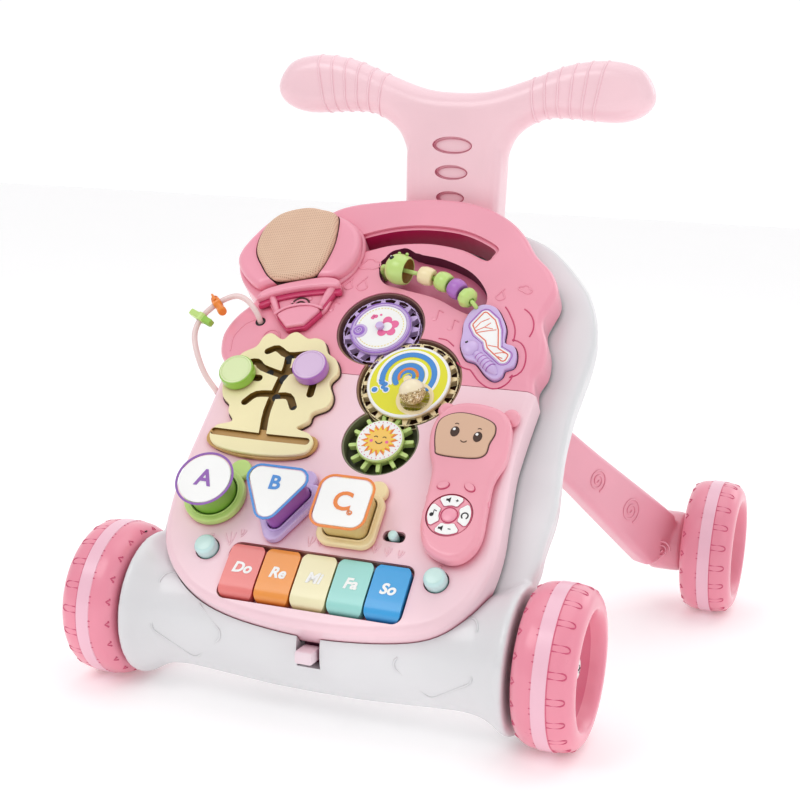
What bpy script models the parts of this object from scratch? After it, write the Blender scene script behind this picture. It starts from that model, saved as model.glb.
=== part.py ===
"""Baby push-along walker with a lift-off play panel, folding rear legs and a plug-in handle.

Run with: blender --background --python part.py
The walker stands on z = 0. The play panel faces -Y, the child walks at +Y, +X is to the right.
"""

import math

import bmesh
import bpy
from mathutils import Matrix, Vector

# ---------------------------------------------------------------- driving dimensions (metres)
WHEEL_RADIUS = 0.059
WHEEL_SIDES = 24
AXLE_HEIGHT = WHEEL_RADIUS
FRONT_AXLE_Y = -0.1825
REAR_AXLE_Y = 0.1825
FRONT_WHEEL_X = 0.1745
REAR_WHEEL_X = 0.2215
AXLE_RADIUS = 0.004
GAP = 0.0003

# The play panel is modelled flat: x is across it, y up its slope, z out of its face.
PANEL_FOOT = Vector((0.0, -0.2390, 0.0805))
PANEL_TILT = math.radians(46.5)
PANEL_DEPTH = 0.025
PANEL_PLATE = 0.003
PANEL_WALL = 0.003
BACK_PLATE = 0.0025

# The white body lies behind the panel.
BODY_FRONT = -0.0285
BODY_BACK = -0.0550
BODY_WALL = 0.0035
COVER_THICK = 0.003

# Fold hinge of the rear legs.
HINGE_Y = -0.0150
HINGE_Z = 0.2115
HINGE_ROD = 0.005
BARREL_RADIUS = 0.0125

HANDLE_Y = 0.0665
HANDLE_THICK = 0.030

MM = 0.001

SCENE = bpy.context.scene
PARTS = None
CUTTERS = None


# ---------------------------------------------------------------- scene and material helpers
def clear_scene():
    """Remove what the file opened with and make the two collections."""
    global PARTS, CUTTERS
    for old in list(bpy.data.objects):
        bpy.data.objects.remove(old, do_unlink=True)
    PARTS = bpy.data.collections.new("baby_walker")
    CUTTERS = bpy.data.collections.new("cutters")
    SCENE.collection.children.link(PARTS)
    SCENE.collection.children.link(CUTTERS)


def plastic(name, colour, roughness=0.35, metallic=0.0):
    """A Principled material, shared by every piece of the same colour."""
    found = bpy.data.materials.get(name)
    if found:
        return found
    made = bpy.data.materials.new(name)
    made.use_nodes = True
    shader = made.node_tree.nodes["Principled BSDF"]
    shader.inputs["Base Color"].default_value = (*colour, 1.0)
    shader.inputs["Roughness"].default_value = roughness
    shader.inputs["Metallic"].default_value = metallic
    return made


PINK = ("pink_plastic", (0.86, 0.36, 0.46))
PALE_PINK = ("pale_pink_plastic", (0.93, 0.66, 0.73))
WHITE = ("white_plastic", (0.88, 0.88, 0.89))
MAROON = ("maroon_plastic", (0.20, 0.02, 0.08))
CREAM = ("cream_plastic", (0.92, 0.84, 0.58))
TAN = ("tan_plastic", (0.66, 0.48, 0.34))
GREEN = ("green_plastic", (0.55, 0.78, 0.30))
LILAC = ("lilac_plastic", (0.62, 0.45, 0.78))
MINT = ("mint_plastic", (0.55, 0.84, 0.80))
CORAL = ("coral_plastic", (0.90, 0.42, 0.42))
ORANGE = ("orange_plastic", (0.95, 0.45, 0.12))
BLUE = ("blue_plastic", (0.16, 0.52, 0.85))
GREY = ("grey_plastic", (0.45, 0.46, 0.48))
STEEL = ("steel", (0.62, 0.62, 0.64), 0.3, 1.0)
BOARD = ("circuit_board", (0.05, 0.25, 0.12))


def frame_empty(name, location, rotation=(0.0, 0.0, 0.0), parent=None):
    """An empty that carries pieces."""
    empty = bpy.data.objects.new(name, None)
    SCENE.collection.objects.link(empty)
    empty.location = location
    empty.rotation_euler = rotation
    empty.parent = parent
    return empty


def mm_points(points):
    """Points given in millimetres, as metres."""
    return [tuple(value * MM for value in point) for point in points]


# ---------------------------------------------------------------- mesh helpers
def loose_object(name, mesh, as_cutter=False):
    """Link a mesh as a part, or as a hidden wire cutter."""
    obj = bpy.data.objects.new(name, mesh)
    (CUTTERS if as_cutter else PARTS).objects.link(obj)
    if as_cutter:
        obj.display_type = "WIRE"
        obj.hide_render = True
    return obj


def tidy_mesh(obj, weld=0.00002):
    """Weld doubles and turn every face outwards."""
    shape = bmesh.new()
    shape.from_mesh(obj.data)
    bmesh.ops.remove_doubles(shape, verts=shape.verts, dist=weld)
    bmesh.ops.dissolve_degenerate(shape, edges=shape.edges, dist=0.000005)
    bmesh.ops.recalc_face_normals(shape, faces=shape.faces)
    shape.to_mesh(obj.data)
    shape.free()


def freeze(obj):
    """Replace an object's data by its evaluated mesh and drop its modifiers."""
    graph = bpy.context.evaluated_depsgraph_get()
    graph.update()
    mesh = bpy.data.meshes.new_from_object(obj.evaluated_get(graph))
    solid = bpy.data.objects.new(obj.name, mesh)
    solid.matrix_world = obj.matrix_world.copy()
    for owner in obj.users_collection:
        owner.objects.link(solid)
    solid.display_type = obj.display_type
    solid.hide_render = obj.hide_render
    name = obj.name
    bpy.data.objects.remove(obj, do_unlink=True)
    solid.name = name
    tidy_mesh(solid)
    return solid


def outline(name, loops, low, high, edge=0.0, steps=2, smooth=0, grow=0.0, as_cutter=False):
    """A flat outline from z = low to high. Loops are in millimetres and inner ones are holes.

    smooth is the number of segments between two points of a rounded loop, 0 keeps corners;
    edge rounds the rims, grow moves the wall outwards.
    """
    curve = bpy.data.curves.new(name, "CURVE")
    curve.dimensions = "2D"
    curve.fill_mode = "BOTH"
    curve.extrude = (high - low) / 2 - edge
    curve.bevel_depth = edge
    curve.bevel_resolution = steps if edge else 0
    curve.offset = grow - edge
    curve.resolution_u = max(smooth, 1)
    for loop in loops:
        points = mm_points(loop)
        if smooth:
            spline = curve.splines.new("BEZIER")
            spline.bezier_points.add(len(points) - 1)
            for knot, point in zip(spline.bezier_points, points):
                knot.co = (*point, 0.0)
                knot.handle_left_type = "AUTO"
                knot.handle_right_type = "AUTO"
        else:
            spline = curve.splines.new("POLY")
            spline.points.add(len(points) - 1)
            for knot, point in zip(spline.points, points):
                knot.co = (*point, 0.0, 1.0)
        spline.use_cyclic_u = True
    obj = bpy.data.objects.new(name, curve)
    (CUTTERS if as_cutter else PARTS).objects.link(obj)
    if as_cutter:
        obj.display_type = "WIRE"
        obj.hide_render = True
    solid = freeze(obj)
    solid.data.transform(Matrix.Translation((0.0, 0.0, (low + high) / 2)))
    return solid


def circle(x, y, radius, sides=24):
    """A round loop in millimetres."""
    angles = [2 * math.pi * i / sides for i in range(sides)]
    return [(x + radius * math.cos(a), y + radius * math.sin(a)) for a in angles]


def rounded_box(x, y, width, height, radius, steps=3):
    """A rectangle with round corners, in millimetres, centred on x, y."""
    loop = []
    for quarter, (sx, sy) in enumerate(((1, 1), (-1, 1), (-1, -1), (1, -1))):
        cx = x + sx * (width / 2 - radius)
        cy = y + sy * (height / 2 - radius)
        for i in range(steps + 1):
            angle = math.pi / 2 * (quarter + i / steps)
            loop.append((cx + radius * math.cos(angle), cy + radius * math.sin(angle)))
    return loop


def stroke(start, end, half_width, steps=4):
    """A slot-shaped loop along a line, in millimetres."""
    heading = math.atan2(end[1] - start[1], end[0] - start[0])
    loop = []
    for centre, turn in ((end, -math.pi / 2), (start, math.pi / 2)):
        for i in range(steps + 1):
            angle = heading + turn + math.pi * i / steps
            loop.append((centre[0] + half_width * math.cos(angle), centre[1] + half_width * math.sin(angle)))
    return loop


def box(name, low, high, edge=0.0, as_cutter=False):
    """A box between two corners, in metres, with its edges rounded."""
    shape = bmesh.new()
    size = [b - a for a, b in zip(low, high)]
    middle = [(a + b) / 2 for a, b in zip(low, high)]
    bmesh.ops.create_cube(shape, size=1.0)
    bmesh.ops.scale(shape, vec=size, verts=shape.verts)
    bmesh.ops.translate(shape, vec=middle, verts=shape.verts)
    if edge:
        bmesh.ops.bevel(shape, geom=list(shape.edges), offset=edge, segments=2, profile=0.5, affect="EDGES")
    mesh = bpy.data.meshes.new(name)
    shape.to_mesh(mesh)
    shape.free()
    return loose_object(name, mesh, as_cutter)


def rod(name, start, end, radius, sides=24, as_cutter=False):
    """A round bar between two points, in metres."""
    start = Vector(start)
    along = Vector(end) - start
    turn = along.to_track_quat("Z", "Y").to_matrix().to_4x4()
    shape = bmesh.new()
    bmesh.ops.create_cone(shape, cap_ends=True, segments=sides, radius1=radius, radius2=radius,
                          depth=along.length, matrix=Matrix.Translation(start + along / 2) @ turn)
    mesh = bpy.data.meshes.new(name)
    shape.to_mesh(mesh)
    shape.free()
    return loose_object(name, mesh, as_cutter)


def turned(name, profile, sides=24, ring=False, as_cutter=False):
    """A turned solid about z. The profile, in millimetres, runs down its outer side."""
    points = mm_points(profile)
    edges = [(i, i + 1) for i in range(len(points) - 1)]
    if ring:
        edges.append((len(points) - 1, 0))
    mesh = bpy.data.meshes.new(name)
    mesh.from_pydata([(x, 0.0, z) for x, z in points], edges, [])
    obj = loose_object(name, mesh, as_cutter)
    spin = obj.modifiers.new("Turn", "SCREW")
    spin.steps = sides
    spin.render_steps = sides
    spin.use_merge_vertices = True
    spin.merge_threshold = 0.00002
    spin.use_smooth_shade = False
    return freeze(obj)


def tube(name, path, radius, resolution=2):
    """A round tube along points in metres, with closed ends."""
    curve = bpy.data.curves.new(name, "CURVE")
    curve.dimensions = "3D"
    curve.bevel_depth = radius
    curve.bevel_resolution = resolution
    curve.use_fill_caps = True
    spline = curve.splines.new("POLY")
    spline.points.add(len(path) - 1)
    for knot, point in zip(spline.points, path):
        knot.co = (*point, 1.0)
    obj = bpy.data.objects.new(name, curve)
    PARTS.objects.link(obj)
    return freeze(obj)


def smooth_path(knots, spans):
    """Points in metres on a smooth curve through knots given in millimetres."""
    ends = [Vector(knots[0]) * 2 - Vector(knots[1]), Vector(knots[-1]) * 2 - Vector(knots[-2])]
    chain = [ends[0]] + [Vector(k) for k in knots] + [ends[1]]
    path = []
    for i in range(1, len(chain) - 2):
        a, b, c, d = chain[i - 1:i + 3]
        for step in range(spans):
            t = step / spans
            point = 0.5 * ((2 * b) + (c - a) * t + (2 * a - 5 * b + 4 * c - d) * t ** 2
                           + (3 * b - a - 3 * c + d) * t ** 3)
            path.append(point * MM)
    path.append(Vector(knots[-1]) * MM)
    return path


def boolean(target, tool, operation):
    """Apply one exact Boolean to target and throw the tool away."""
    cut = target.modifiers.new("Boolean", "BOOLEAN")
    cut.operation = operation
    cut.solver = "EXACT"
    cut.object = tool
    result = freeze(target)
    bpy.data.objects.remove(tool, do_unlink=True)
    return result


def cut(target, tool):
    return boolean(target, tool, "DIFFERENCE")


def join(target, tool):
    return boolean(target, tool, "UNION")


def finish(obj, finish_of, parent=None, location=(0.0, 0.0, 0.0), rotation=(0.0, 0.0, 0.0), order="XYZ"):
    """Give a piece its material and its place."""
    obj.data.materials.clear()
    obj.data.materials.append(plastic(*finish_of))
    obj.data.shade_smooth()
    obj.data.set_sharp_from_angle(angle=math.radians(35))
    obj.parent = parent
    obj.rotation_mode = order
    obj.location = location
    obj.rotation_euler = rotation
    return obj


# ---------------------------------------------------------------- outlines of the panel (mm)
LOWER_OUTLINE = [(-135, 210.3), (-134, 180), (-136, 115), (-134, 80), (-127, 50), (-110, 27), (-85, 11),
                 (-50, 2), (0, -2), (50, 1), (90, 10), (112, 28), (122, 50), (125, 80), (122, 115),
                 (119, 150), (120, 180), (122, 210.3)]
UPPER_OUTLINE = [(-135.5, 211), (-144, 222), (-148, 240), (-143, 258), (-131, 278), (-124, 310), (-112, 345),
                 (-94, 374), (-62, 387), (0, 395), (38, 389), (62, 377), (79, 361), (92, 343), (109, 326),
                 (117, 306), (112, 280), (120, 258), (122, 240), (118, 226), (121, 211)]
CARRY_SLOT = [(-58, 346), (-30, 357), (0, 360.5), (30, 357), (56, 345), (57, 338), (52, 333), (30, 342),
              (0, 346), (-30, 342), (-52, 334), (-59, 338)]
GRUB_WELL = [(-33, 314), (-31, 327), (-20, 337), (-4, 333), (20, 329), (45, 318), (61, 301),
                    (64, 287), (57, 277), (44, 280), (22, 290), (-6, 296), (-25, 301)]
DRAGONFLY = [(57, 243), (58, 262), (67, 281), (76, 283), (85, 270), (89, 252), (101, 242), (96, 228),
             (91, 216), (80, 221), (68, 233)]
TREE = [(-124, 205), (-110, 226), (-97, 239), (-84, 239), (-70, 240), (-52, 235), (-38, 220), (-35, 205),
        (-32, 185), (-43, 168), (-50, 154), (-34, 149), (-36, 133), (-60, 127), (-90, 127), (-118, 134),
        (-120, 149), (-108, 155), (-114, 168), (-126, 188)]
BALLOON = [(-128, 274), (-148, 292), (-157, 313), (-153, 338), (-136, 358), (-110, 366), (-80, 364),
           (-58, 350), (-50, 330), (-53, 308), (-66, 288), (-69, 262), (-79, 250), (-98, 251), (-110, 266)]
GRILLE = [(-130, 302), (-141, 322), (-137, 344), (-112, 357), (-84, 354), (-74, 338), (-77, 315),
          (-84, 297), (-108, 291)]
PHONE = [(70, 184), (60, 187), (55, 178), (57, 160), (60, 142), (66, 128), (68, 105), (70, 80), (80, 64),
         (96, 58), (109, 64), (115, 80), (113, 105), (112, 128), (118, 146), (115, 165), (116, 178),
         (109, 187), (98, 184), (84, 189)]

GEARS = {"gear_flower": (-14.5, 256.7, 15, 31.0), "gear_spiral": (22.6, 208.9, 19, 38.0),
         "gear_sun": (15.2, 154.2, 12, 25.8)}
GEAR_ROOT = {"gear_flower": 22.0, "gear_spiral": 28.9, "gear_sun": 16.6}
WELL_RADIUS = {"gear_flower": 36.0, "gear_spiral": 41.5, "gear_sun": 30.0}
TRAY_FLOOR = -11.0
TRAY_BOTTOM = -13.0


def panel_frame():
    """The tilted frame that every piece of the play panel sits on."""
    return frame_empty("panel_frame", PANEL_FOOT, (PANEL_TILT, 0.0, 0.0))


def gear_well(z_low, z_high, grow=0.0):
    """The three round wells joined into one cutter."""
    wells = None
    for name, radius in WELL_RADIUS.items():
        x, y = GEARS[name][:2]
        disc = outline("well_" + name, [circle(x, y, radius + grow, 28)], z_low, z_high, as_cutter=True)
        wells = disc if wells is None else join(wells, disc)
    return wells


# ---------------------------------------------------------------- play panel shells
def build_panel_shells(panel):
    """The two front shells, open at the back, with their openings."""
    top_edge = 0.006
    inner_low = -PANEL_DEPTH - 0.001

    lower = outline("panel_lower", [LOWER_OUTLINE], -PANEL_DEPTH, 0.0, edge=0.0)
    lower = round_top(lower, top_edge)
    lower = cut(lower, outline("lower_hollow", [LOWER_OUTLINE], inner_low, -PANEL_PLATE,
                               grow=-PANEL_WALL, as_cutter=True))
    lower = cut(lower, gear_well(-0.02, 0.01))
    lower = cut(lower, outline("key_bay", [rounded_box(1.0, 33.0, 142.5, 46.0, 3.0)], -0.02, 0.01, as_cutter=True))
    for side in (-89.0, 89.0):
        lower = cut(lower, outline("button_hole", [circle(side, 47.0, 9.3, 24)], -0.02, 0.01, as_cutter=True))
    lower = cut(lower, outline("switch_slot", [rounded_box(49.0, 77.0, 17.0, 9.0, 3.0)], -0.02, 0.01, as_cutter=True))
    lower = cut(lower, gear_well(TRAY_BOTTOM * MM - 0.0010, -PANEL_PLATE, grow=3.2))
    finish(lower, PALE_PINK, panel)

    upper = outline("panel_upper", [UPPER_OUTLINE], -PANEL_DEPTH, 0.0, edge=0.0)
    upper = round_top(upper, top_edge)
    upper = cut(upper, outline("upper_hollow", [UPPER_OUTLINE], inner_low, -PANEL_PLATE,
                               grow=-PANEL_WALL, as_cutter=True))
    rim = outline("slot_collar", [CARRY_SLOT], -PANEL_DEPTH, -PANEL_PLATE / 2, grow=0.0025, smooth=2)
    upper = join(upper, rim)
    upper = cut(upper, outline("carry_slot", [CARRY_SLOT], -0.03, 0.01, smooth=2, as_cutter=True))
    upper = cut(upper, gear_well(-0.02, 0.01))
    upper = cut(upper, outline("grub_hole", [GRUB_WELL], -0.02, 0.01, smooth=2, as_cutter=True))
    upper = cut(upper, outline("dragonfly_hole", [DRAGONFLY], -0.02, 0.01, smooth=2, grow=0.0007, as_cutter=True))
    upper = cut(upper, outline("balloon_hole", [BALLOON], -0.03, 0.01, smooth=2, grow=0.0004, as_cutter=True))
    upper = cut(upper, gear_well(TRAY_BOTTOM * MM - 0.0010, -PANEL_PLATE, grow=3.2))
    finish(upper, PINK, panel)


def round_top(obj, width):
    """Round the rim of the front face only."""
    shape = bmesh.new()
    shape.from_mesh(obj.data)
    top = max(vert.co.z for vert in shape.verts)
    rim = [edge for edge in shape.edges
           if all(abs(vert.co.z - top) < 1e-6 for vert in edge.verts)
           and len(edge.link_faces) == 2
           and any(abs(face.normal.z) < 0.5 for face in edge.link_faces)]
    bmesh.ops.bevel(shape, geom=rim, offset=width, segments=2, profile=0.5, affect="EDGES", clamp_overlap=True)
    shape.to_mesh(obj.data)
    shape.free()
    tidy_mesh(obj)
    return obj


def build_panel_inside(panel):
    """Dark well tray with gear posts, back plate, battery cover, speaker and circuit board."""
    tray = gear_well(TRAY_BOTTOM * MM, -PANEL_PLATE - GAP, grow=2.5)
    tray = join(tray, outline("tray_tongue", [GRUB_WELL], TRAY_BOTTOM * MM, -PANEL_PLATE - GAP,
                              smooth=2, grow=0.0025, as_cutter=True))
    tray = cut(tray, gear_well(TRAY_FLOOR * MM, 0.01))
    tray = cut(tray, outline("dragonfly_room", [DRAGONFLY], -0.0060, 0.01, smooth=2, grow=0.0012, as_cutter=True))
    tray = cut(tray, outline("tray_hollow", [GRUB_WELL], TRAY_FLOOR * MM, 0.01, smooth=2, as_cutter=True))
    for name in GEARS:
        x, y = GEARS[name][:2]
        tray = join(tray, outline("post", [circle(x, y, 2.9, 16)], (TRAY_FLOOR - 1) * MM, -0.0025, as_cutter=True))
    tray.name = "well_tray"
    CUTTERS.objects.unlink(tray)
    PARTS.objects.link(tray)
    tray.hide_render = False
    tray.display_type = "TEXTURED"
    finish(tray, MAROON, panel)

    plate_top = -PANEL_DEPTH - GAP
    back = outline("panel_back", [LOWER_OUTLINE + UPPER_OUTLINE[-1:1:-1]], plate_top - BACK_PLATE, plate_top,
                   grow=-0.001)
    back = cut(back, outline("slot_way", [CARRY_SLOT], -0.04, 0.0, smooth=2, grow=0.001, as_cutter=True))
    back = cut(back, outline("battery_opening", [rounded_box(0.0, 105.0, 92.0, 62.0, 4.0)], -0.04, 0.0,
                             as_cutter=True))
    finish(back, PALE_PINK, panel)
    cover = outline("battery_cover", [rounded_box(0.0, 105.0, 91.0, 61.0, 3.5)], plate_top - BACK_PLATE, plate_top)
    finish(cover, PALE_PINK, panel)

    inside_floor = -PANEL_DEPTH + GAP
    speaker = turned("speaker", [(0, 15.5), (9, 15.5), (12, 11), (25, 11), (25, 8), (12, 0), (0, 0)], 20)
    finish(speaker, GREY, panel, location=(-0.103, 0.325, inside_floor))
    board = outline("circuit_board", [rounded_box(0.0, 0.0, 60.0, 46.0, 2.0)], 0.0, 0.0016)
    finish(board, BOARD, panel, location=(-0.085, 0.165, inside_floor))


# ---------------------------------------------------------------- gears
def gear_loop(teeth, tip, root, phase):
    """A ring of pointed teeth, in millimetres. A tooth points along the phase angle."""
    step = 2 * math.pi / teeth
    loop = []
    for i in range(teeth):
        middle = phase + i * step
        for radius, share in ((root, -0.24), (tip, -0.09), (tip, 0.09), (root, 0.24)):
            angle = middle + share * step
            loop.append((radius * math.cos(angle), radius * math.sin(angle)))
    return loop


def gear_phases():
    """Tooth phases that put every pair in mesh at rest: a tooth of one in a gap of the other."""
    spiral_x, spiral_y, spiral_teeth = GEARS["gear_spiral"][:3]
    phases = {"gear_spiral": math.pi / 2}
    for name in ("gear_flower", "gear_sun"):
        x, y, teeth = GEARS[name][:3]
        towards = math.atan2(y - spiral_y, x - spiral_x)
        spiral_step = 2 * math.pi / spiral_teeth
        offset = ((towards - phases["gear_spiral"]) / spiral_step) % 1.0
        step = 2 * math.pi / teeth
        phases[name] = towards + math.pi + (offset + 0.5) * step
    return phases


def build_gears(panel):
    """Three meshing gears on the tray's posts, and the ball knob of the middle one."""
    phases = gear_phases()
    colours = {"gear_flower": LILAC, "gear_spiral": CREAM, "gear_sun": GREEN}
    face_radius = {"gear_flower": 25.0, "gear_spiral": 33.0, "gear_sun": 18.5}
    for name, (x, y, teeth, tip) in GEARS.items():
        gear = outline(name, [gear_loop(teeth, tip, GEAR_ROOT[name], phases[name])], -0.0085, -0.0030)
        gear = join(gear, outline("face", [circle(0, 0, face_radius[name], 28)], -0.0022, 0.0010))
        gear = join(gear, outline("hub", [circle(0, 0, GEAR_ROOT[name] - 1.5, 16)], -0.0080, 0.0))
        gear = cut(gear, outline("post_hole", [circle(0, 0, 3.1, 16)], -0.02, -0.0015, as_cutter=True))
        finish(gear, colours[name], panel, location=(x * MM, y * MM, 0.0))
    ball = turned("gear_ball", [(0, 20.4), (5, 19), (8.6, 15.5), (10, 10.6), (8.6, 6), (6, 3.2), (5, 1.3), (0, 1.3)], 16)
    finish(ball, TAN, panel, location=(0.0320, 0.1940, 0.0))


# ---------------------------------------------------------------- balloon, wire and its beads
WIRE_KNOTS = [(-118, 253, 0.5), (-118.3, 254, 5), (-122, 258, 10), (-130, 264, 13), (-141, 266, 14), (-154, 258, 13),
              (-164, 244, 11), (-166, 230, 8), (-160, 215, 4), (-150, 200, -3), (-138, 189, -9), (-136.2, 187, -10)]
WIRE_SPANS = 2
WIRE_BEADS = {"wire_bead_orange": (10, ORANGE), "wire_bead_green": (12, GREEN)}


def build_balloon(panel):
    """Balloon housing with the speaker grille."""
    housing = outline("balloon_frame", [BALLOON], -PANEL_DEPTH, 0.013, edge=0.004, steps=1, smooth=2)
    housing = cut(housing, outline("balloon_hollow", [BALLOON], -PANEL_DEPTH - 0.001, 0.0085, smooth=2,
                                   grow=-PANEL_WALL, as_cutter=True))
    housing = cut(housing, outline("grille_seat", [GRILLE], 0.0, 0.02, smooth=2, as_cutter=True))
    finish(housing, PINK, panel)
    grille = outline("speaker_grille", [GRILLE], 0.0095, 0.0155, edge=0.002, steps=1, smooth=2, grow=-0.0004)
    finish(grille, TAN, panel)


def spin_axis(path, index):
    """Place and direction of a path at one of its points."""
    return path[index], (path[index + 1] - path[index - 1]).normalized()


def build_wire(panel):
    """Curved wire at the panel's left with two loose beads."""
    path = smooth_path(WIRE_KNOTS, WIRE_SPANS)
    finish(tube("bead_wire", path, 0.0024), PALE_PINK, panel)
    for name, (index, colour) in WIRE_BEADS.items():
        place, along = spin_axis(path, index)
        turn = along.to_track_quat("Z", "X").to_euler()
        bead = outline(name, [rounded_box(0, 0, 9, 23, 3)], -0.0035, 0.0035)
        bead = cut(bead, outline("bead_bore", [circle(0, 0, 3.2, 16)], -0.01, 0.01, as_cutter=True))
        finish(bead, colour, panel, location=place, rotation=turn)


# ---------------------------------------------------------------- grub
ROD_KNOTS = [(-29.5, 313, -10.6), (-29.5, 313, 0), (-28, 313, 5.5), (-24.5, 312.6, 7), (-13.5, 311, 7),
             (12, 306, 7), (27.5, 301.5, 7), (40, 295.5, 7), (50.5, 288, 7), (55.5, 284, 7), (58.2, 282, 4.5),
             (58.8, 281.6, 0), (58.8, 281.6, -10.6)]
ROD_SPANS = 2
ROD_BEADS = {"grub_head": (4, 12.5, 10.0, GREEN), "grub_bead_1": (5, 7.6, 5.0, CREAM),
             "grub_bead_2": (6, 8.0, 5.0, GREEN), "grub_bead_3": (7, 8.2, 5.0, LILAC),
             "grub_tail": (8, 8.6, 5.4, GREEN)}


def build_grub(panel):
    """Rod across its well with a head, three beads and a tail that spin on it."""
    path = smooth_path(ROD_KNOTS, ROD_SPANS)
    finish(tube("grub_rod", path, 0.0018, 1), GREEN, panel)
    bore = 2.4
    for name, (knot, radius, half, colour) in ROD_BEADS.items():
        place, along = spin_axis(path, knot * ROD_SPANS)
        profile = [(bore, half)]
        for i in range(5):
            share = math.cos(math.pi * i / 4)
            profile.append((radius * (0.62 + 0.38 * math.sqrt(1 - share ** 2)), half * share))
        profile.append((bore, -half))
        bead = turned(name, profile, 16, ring=True)
        finish(bead, colour, panel, location=place, rotation=along.to_track_quat("Z", "Y").to_euler())


# ---------------------------------------------------------------- tree with its knobs
SLOT_HALF = 2.6
KNOBS = {"tree_knob_green": ((-114.0, 195.0), GREEN), "tree_knob_lilac": ((-55.0, 206.0), LILAC)}
TREE_STROKES = [((-118, 143), (-40, 143)), ((-78, 143), (-79, 221)), ((-98, 221), (-62, 221)),
                ((-114, 195), (-79, 195)), ((-79, 206), (-51, 206)), ((-103, 172), (-60, 172))]


def build_tree(panel):
    """Slotted tree plate, grooved underneath so that the knobs' feet stay in it."""
    plate = outline("tree_plate", [TREE], GAP, 0.0062, smooth=2)
    slots = None
    grooves = None
    for start, end in TREE_STROKES:
        slot = outline("slot", [stroke(start, end, SLOT_HALF)], -0.01, 0.02, as_cutter=True)
        groove = outline("groove", [stroke(start, end, SLOT_HALF + 2.4)], -0.01, 0.0030, as_cutter=True)
        slots = slot if slots is None else join(slots, slot)
        grooves = groove if grooves is None else join(grooves, groove)
    plate = cut(plate, join(slots, grooves))
    finish(plate, CREAM, panel)
    for name, ((x, y), colour) in KNOBS.items():
        knob = turned(name, [(0, 16.5), (12.5, 16.5), (14, 15), (14, 7), (2.2, 6.8), (2.2, 2.6), (4.4, 2.6),
                             (4.4, 0.6), (0, 0.6)], 20)
        finish(knob, colour, panel, location=(x * MM, y * MM, 0.0))


# ---------------------------------------------------------------- shape sorter
def seat_with_ears(name, base, ears, opening, colour, panel):
    """A low collar with two ears around an opening that holds a block."""
    seat = outline(name, [base], GAP, 0.0070)
    for x, y, radius in ears:
        seat = join(seat, outline("ear", [circle(x, y, radius, 14)], GAP, 0.0070))
    seat = cut(seat, outline("seat_hole", [opening], -0.01, 0.02, grow=0.0007, as_cutter=True))
    finish(seat, colour, panel)


def corner_loop(corners, radius, steps=3):
    """A polygon, in millimetres, with round corners of one radius."""
    loop = []
    count = len(corners)
    for i in range(count):
        here = Vector(corners[i])
        back = (Vector(corners[i - 1]) - here).normalized()
        ahead = (Vector(corners[(i + 1) % count]) - here).normalized()
        half = back.angle(ahead) / 2
        centre = here + (back + ahead).normalized() * (radius / math.sin(half))
        first = here + back * (radius / math.tan(half)) - centre
        last = here + ahead * (radius / math.tan(half)) - centre
        for step in range(steps + 1):
            point = first.lerp(last, step / steps).normalized() * radius + centre
            loop.append((point.x, point.y))
    return loop


BLOCKS = {
    "A": ((-97.0, 89.0), GREEN, circle(0, 0, 17.6, 24), circle(-97.0, 89.0, 24.0, 24),
          [(-113.0, 111.0, 8.0), (-84.0, 113.0, 8.5)]),
    "B": ((-41.0, 91.0), LILAC, corner_loop([(-22.5, 11.5), (0.5, -29.0), (23.5, 11.5)], 5.0),
          corner_loop([(-74.0, 107.5), (-40.5, 50.0), (-6.5, 107.5)], 8.0),
          [(-52.0, 111.0, 8.0), (-29.0, 111.0, 8.0)]),
    "C": ((14.5, 84.5), CREAM, rounded_box(0, 0, 33.5, 33.5, 6.0), rounded_box(14.5, 84.0, 45.0, 45.0, 10.0),
          [(1.0, 109.0, 8.5), (27.5, 109.0, 8.5)]),
}


def build_sorter(panel):
    """Three eared seats and their lift-out blocks."""
    for letter, ((x, y), colour, block_loop, base, ears) in BLOCKS.items():
        opening = [(px + x, py + y) for px, py in block_loop]
        seat_with_ears("seat_" + letter, base, ears, opening, colour, panel)
        block = outline("block_" + letter, [block_loop], 0.0006, 0.0285, edge=0.0020, steps=1)
        finish(block, colour, panel, location=(x * MM, y * MM, 0.0))


# ---------------------------------------------------------------- keys, buttons, switch, phone
KEY_PITCH = 28.2
KEY_HINGE_V = 0.0545
KEY_HINGE_N = -0.0060


def build_keys(panel):
    """Five piano keys, each on a pivot at its upper end."""
    for i, colour in enumerate((CORAL, ORANGE, CREAM, MINT, BLUE)):
        centre = 1.0 + (i - 2) * KEY_PITCH
        key = outline("key_%d" % (i + 1), [rounded_box(0, -22.3, 27.2, 43.0, 6.0)], -0.0040, 0.0090,
                      edge=0.0025, steps=1)
        finish(key, colour, panel, location=(centre * MM, KEY_HINGE_V, KEY_HINGE_N))


def build_buttons(panel):
    """Round sprung buttons, the dragonfly button and the slide switch."""
    for name, x in (("button_left", -0.089), ("button_right", 0.089)):
        button = turned(name, [(0, 9), (5.5, 8.6), (8.5, 6), (8.5, -5.5), (10.6, -5.5), (10.6, -7.5), (0, -7.5)], 16)
        finish(button, MINT, panel, location=(x, 0.047, 0.0))
    dragonfly = outline("dragonfly_button", [DRAGONFLY], -0.0028, 0.0045, smooth=2)
    finish(dragonfly, LILAC, panel)
    switch = turned("power_switch", [(0, 4), (2.5, 4), (3.8, 3), (3.8, -5), (0, -5)], 16)
    finish(switch, MINT, panel, location=(0.049, 0.077, 0.0))


DIAL_PLACE = (89.0, 93.0)


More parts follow.
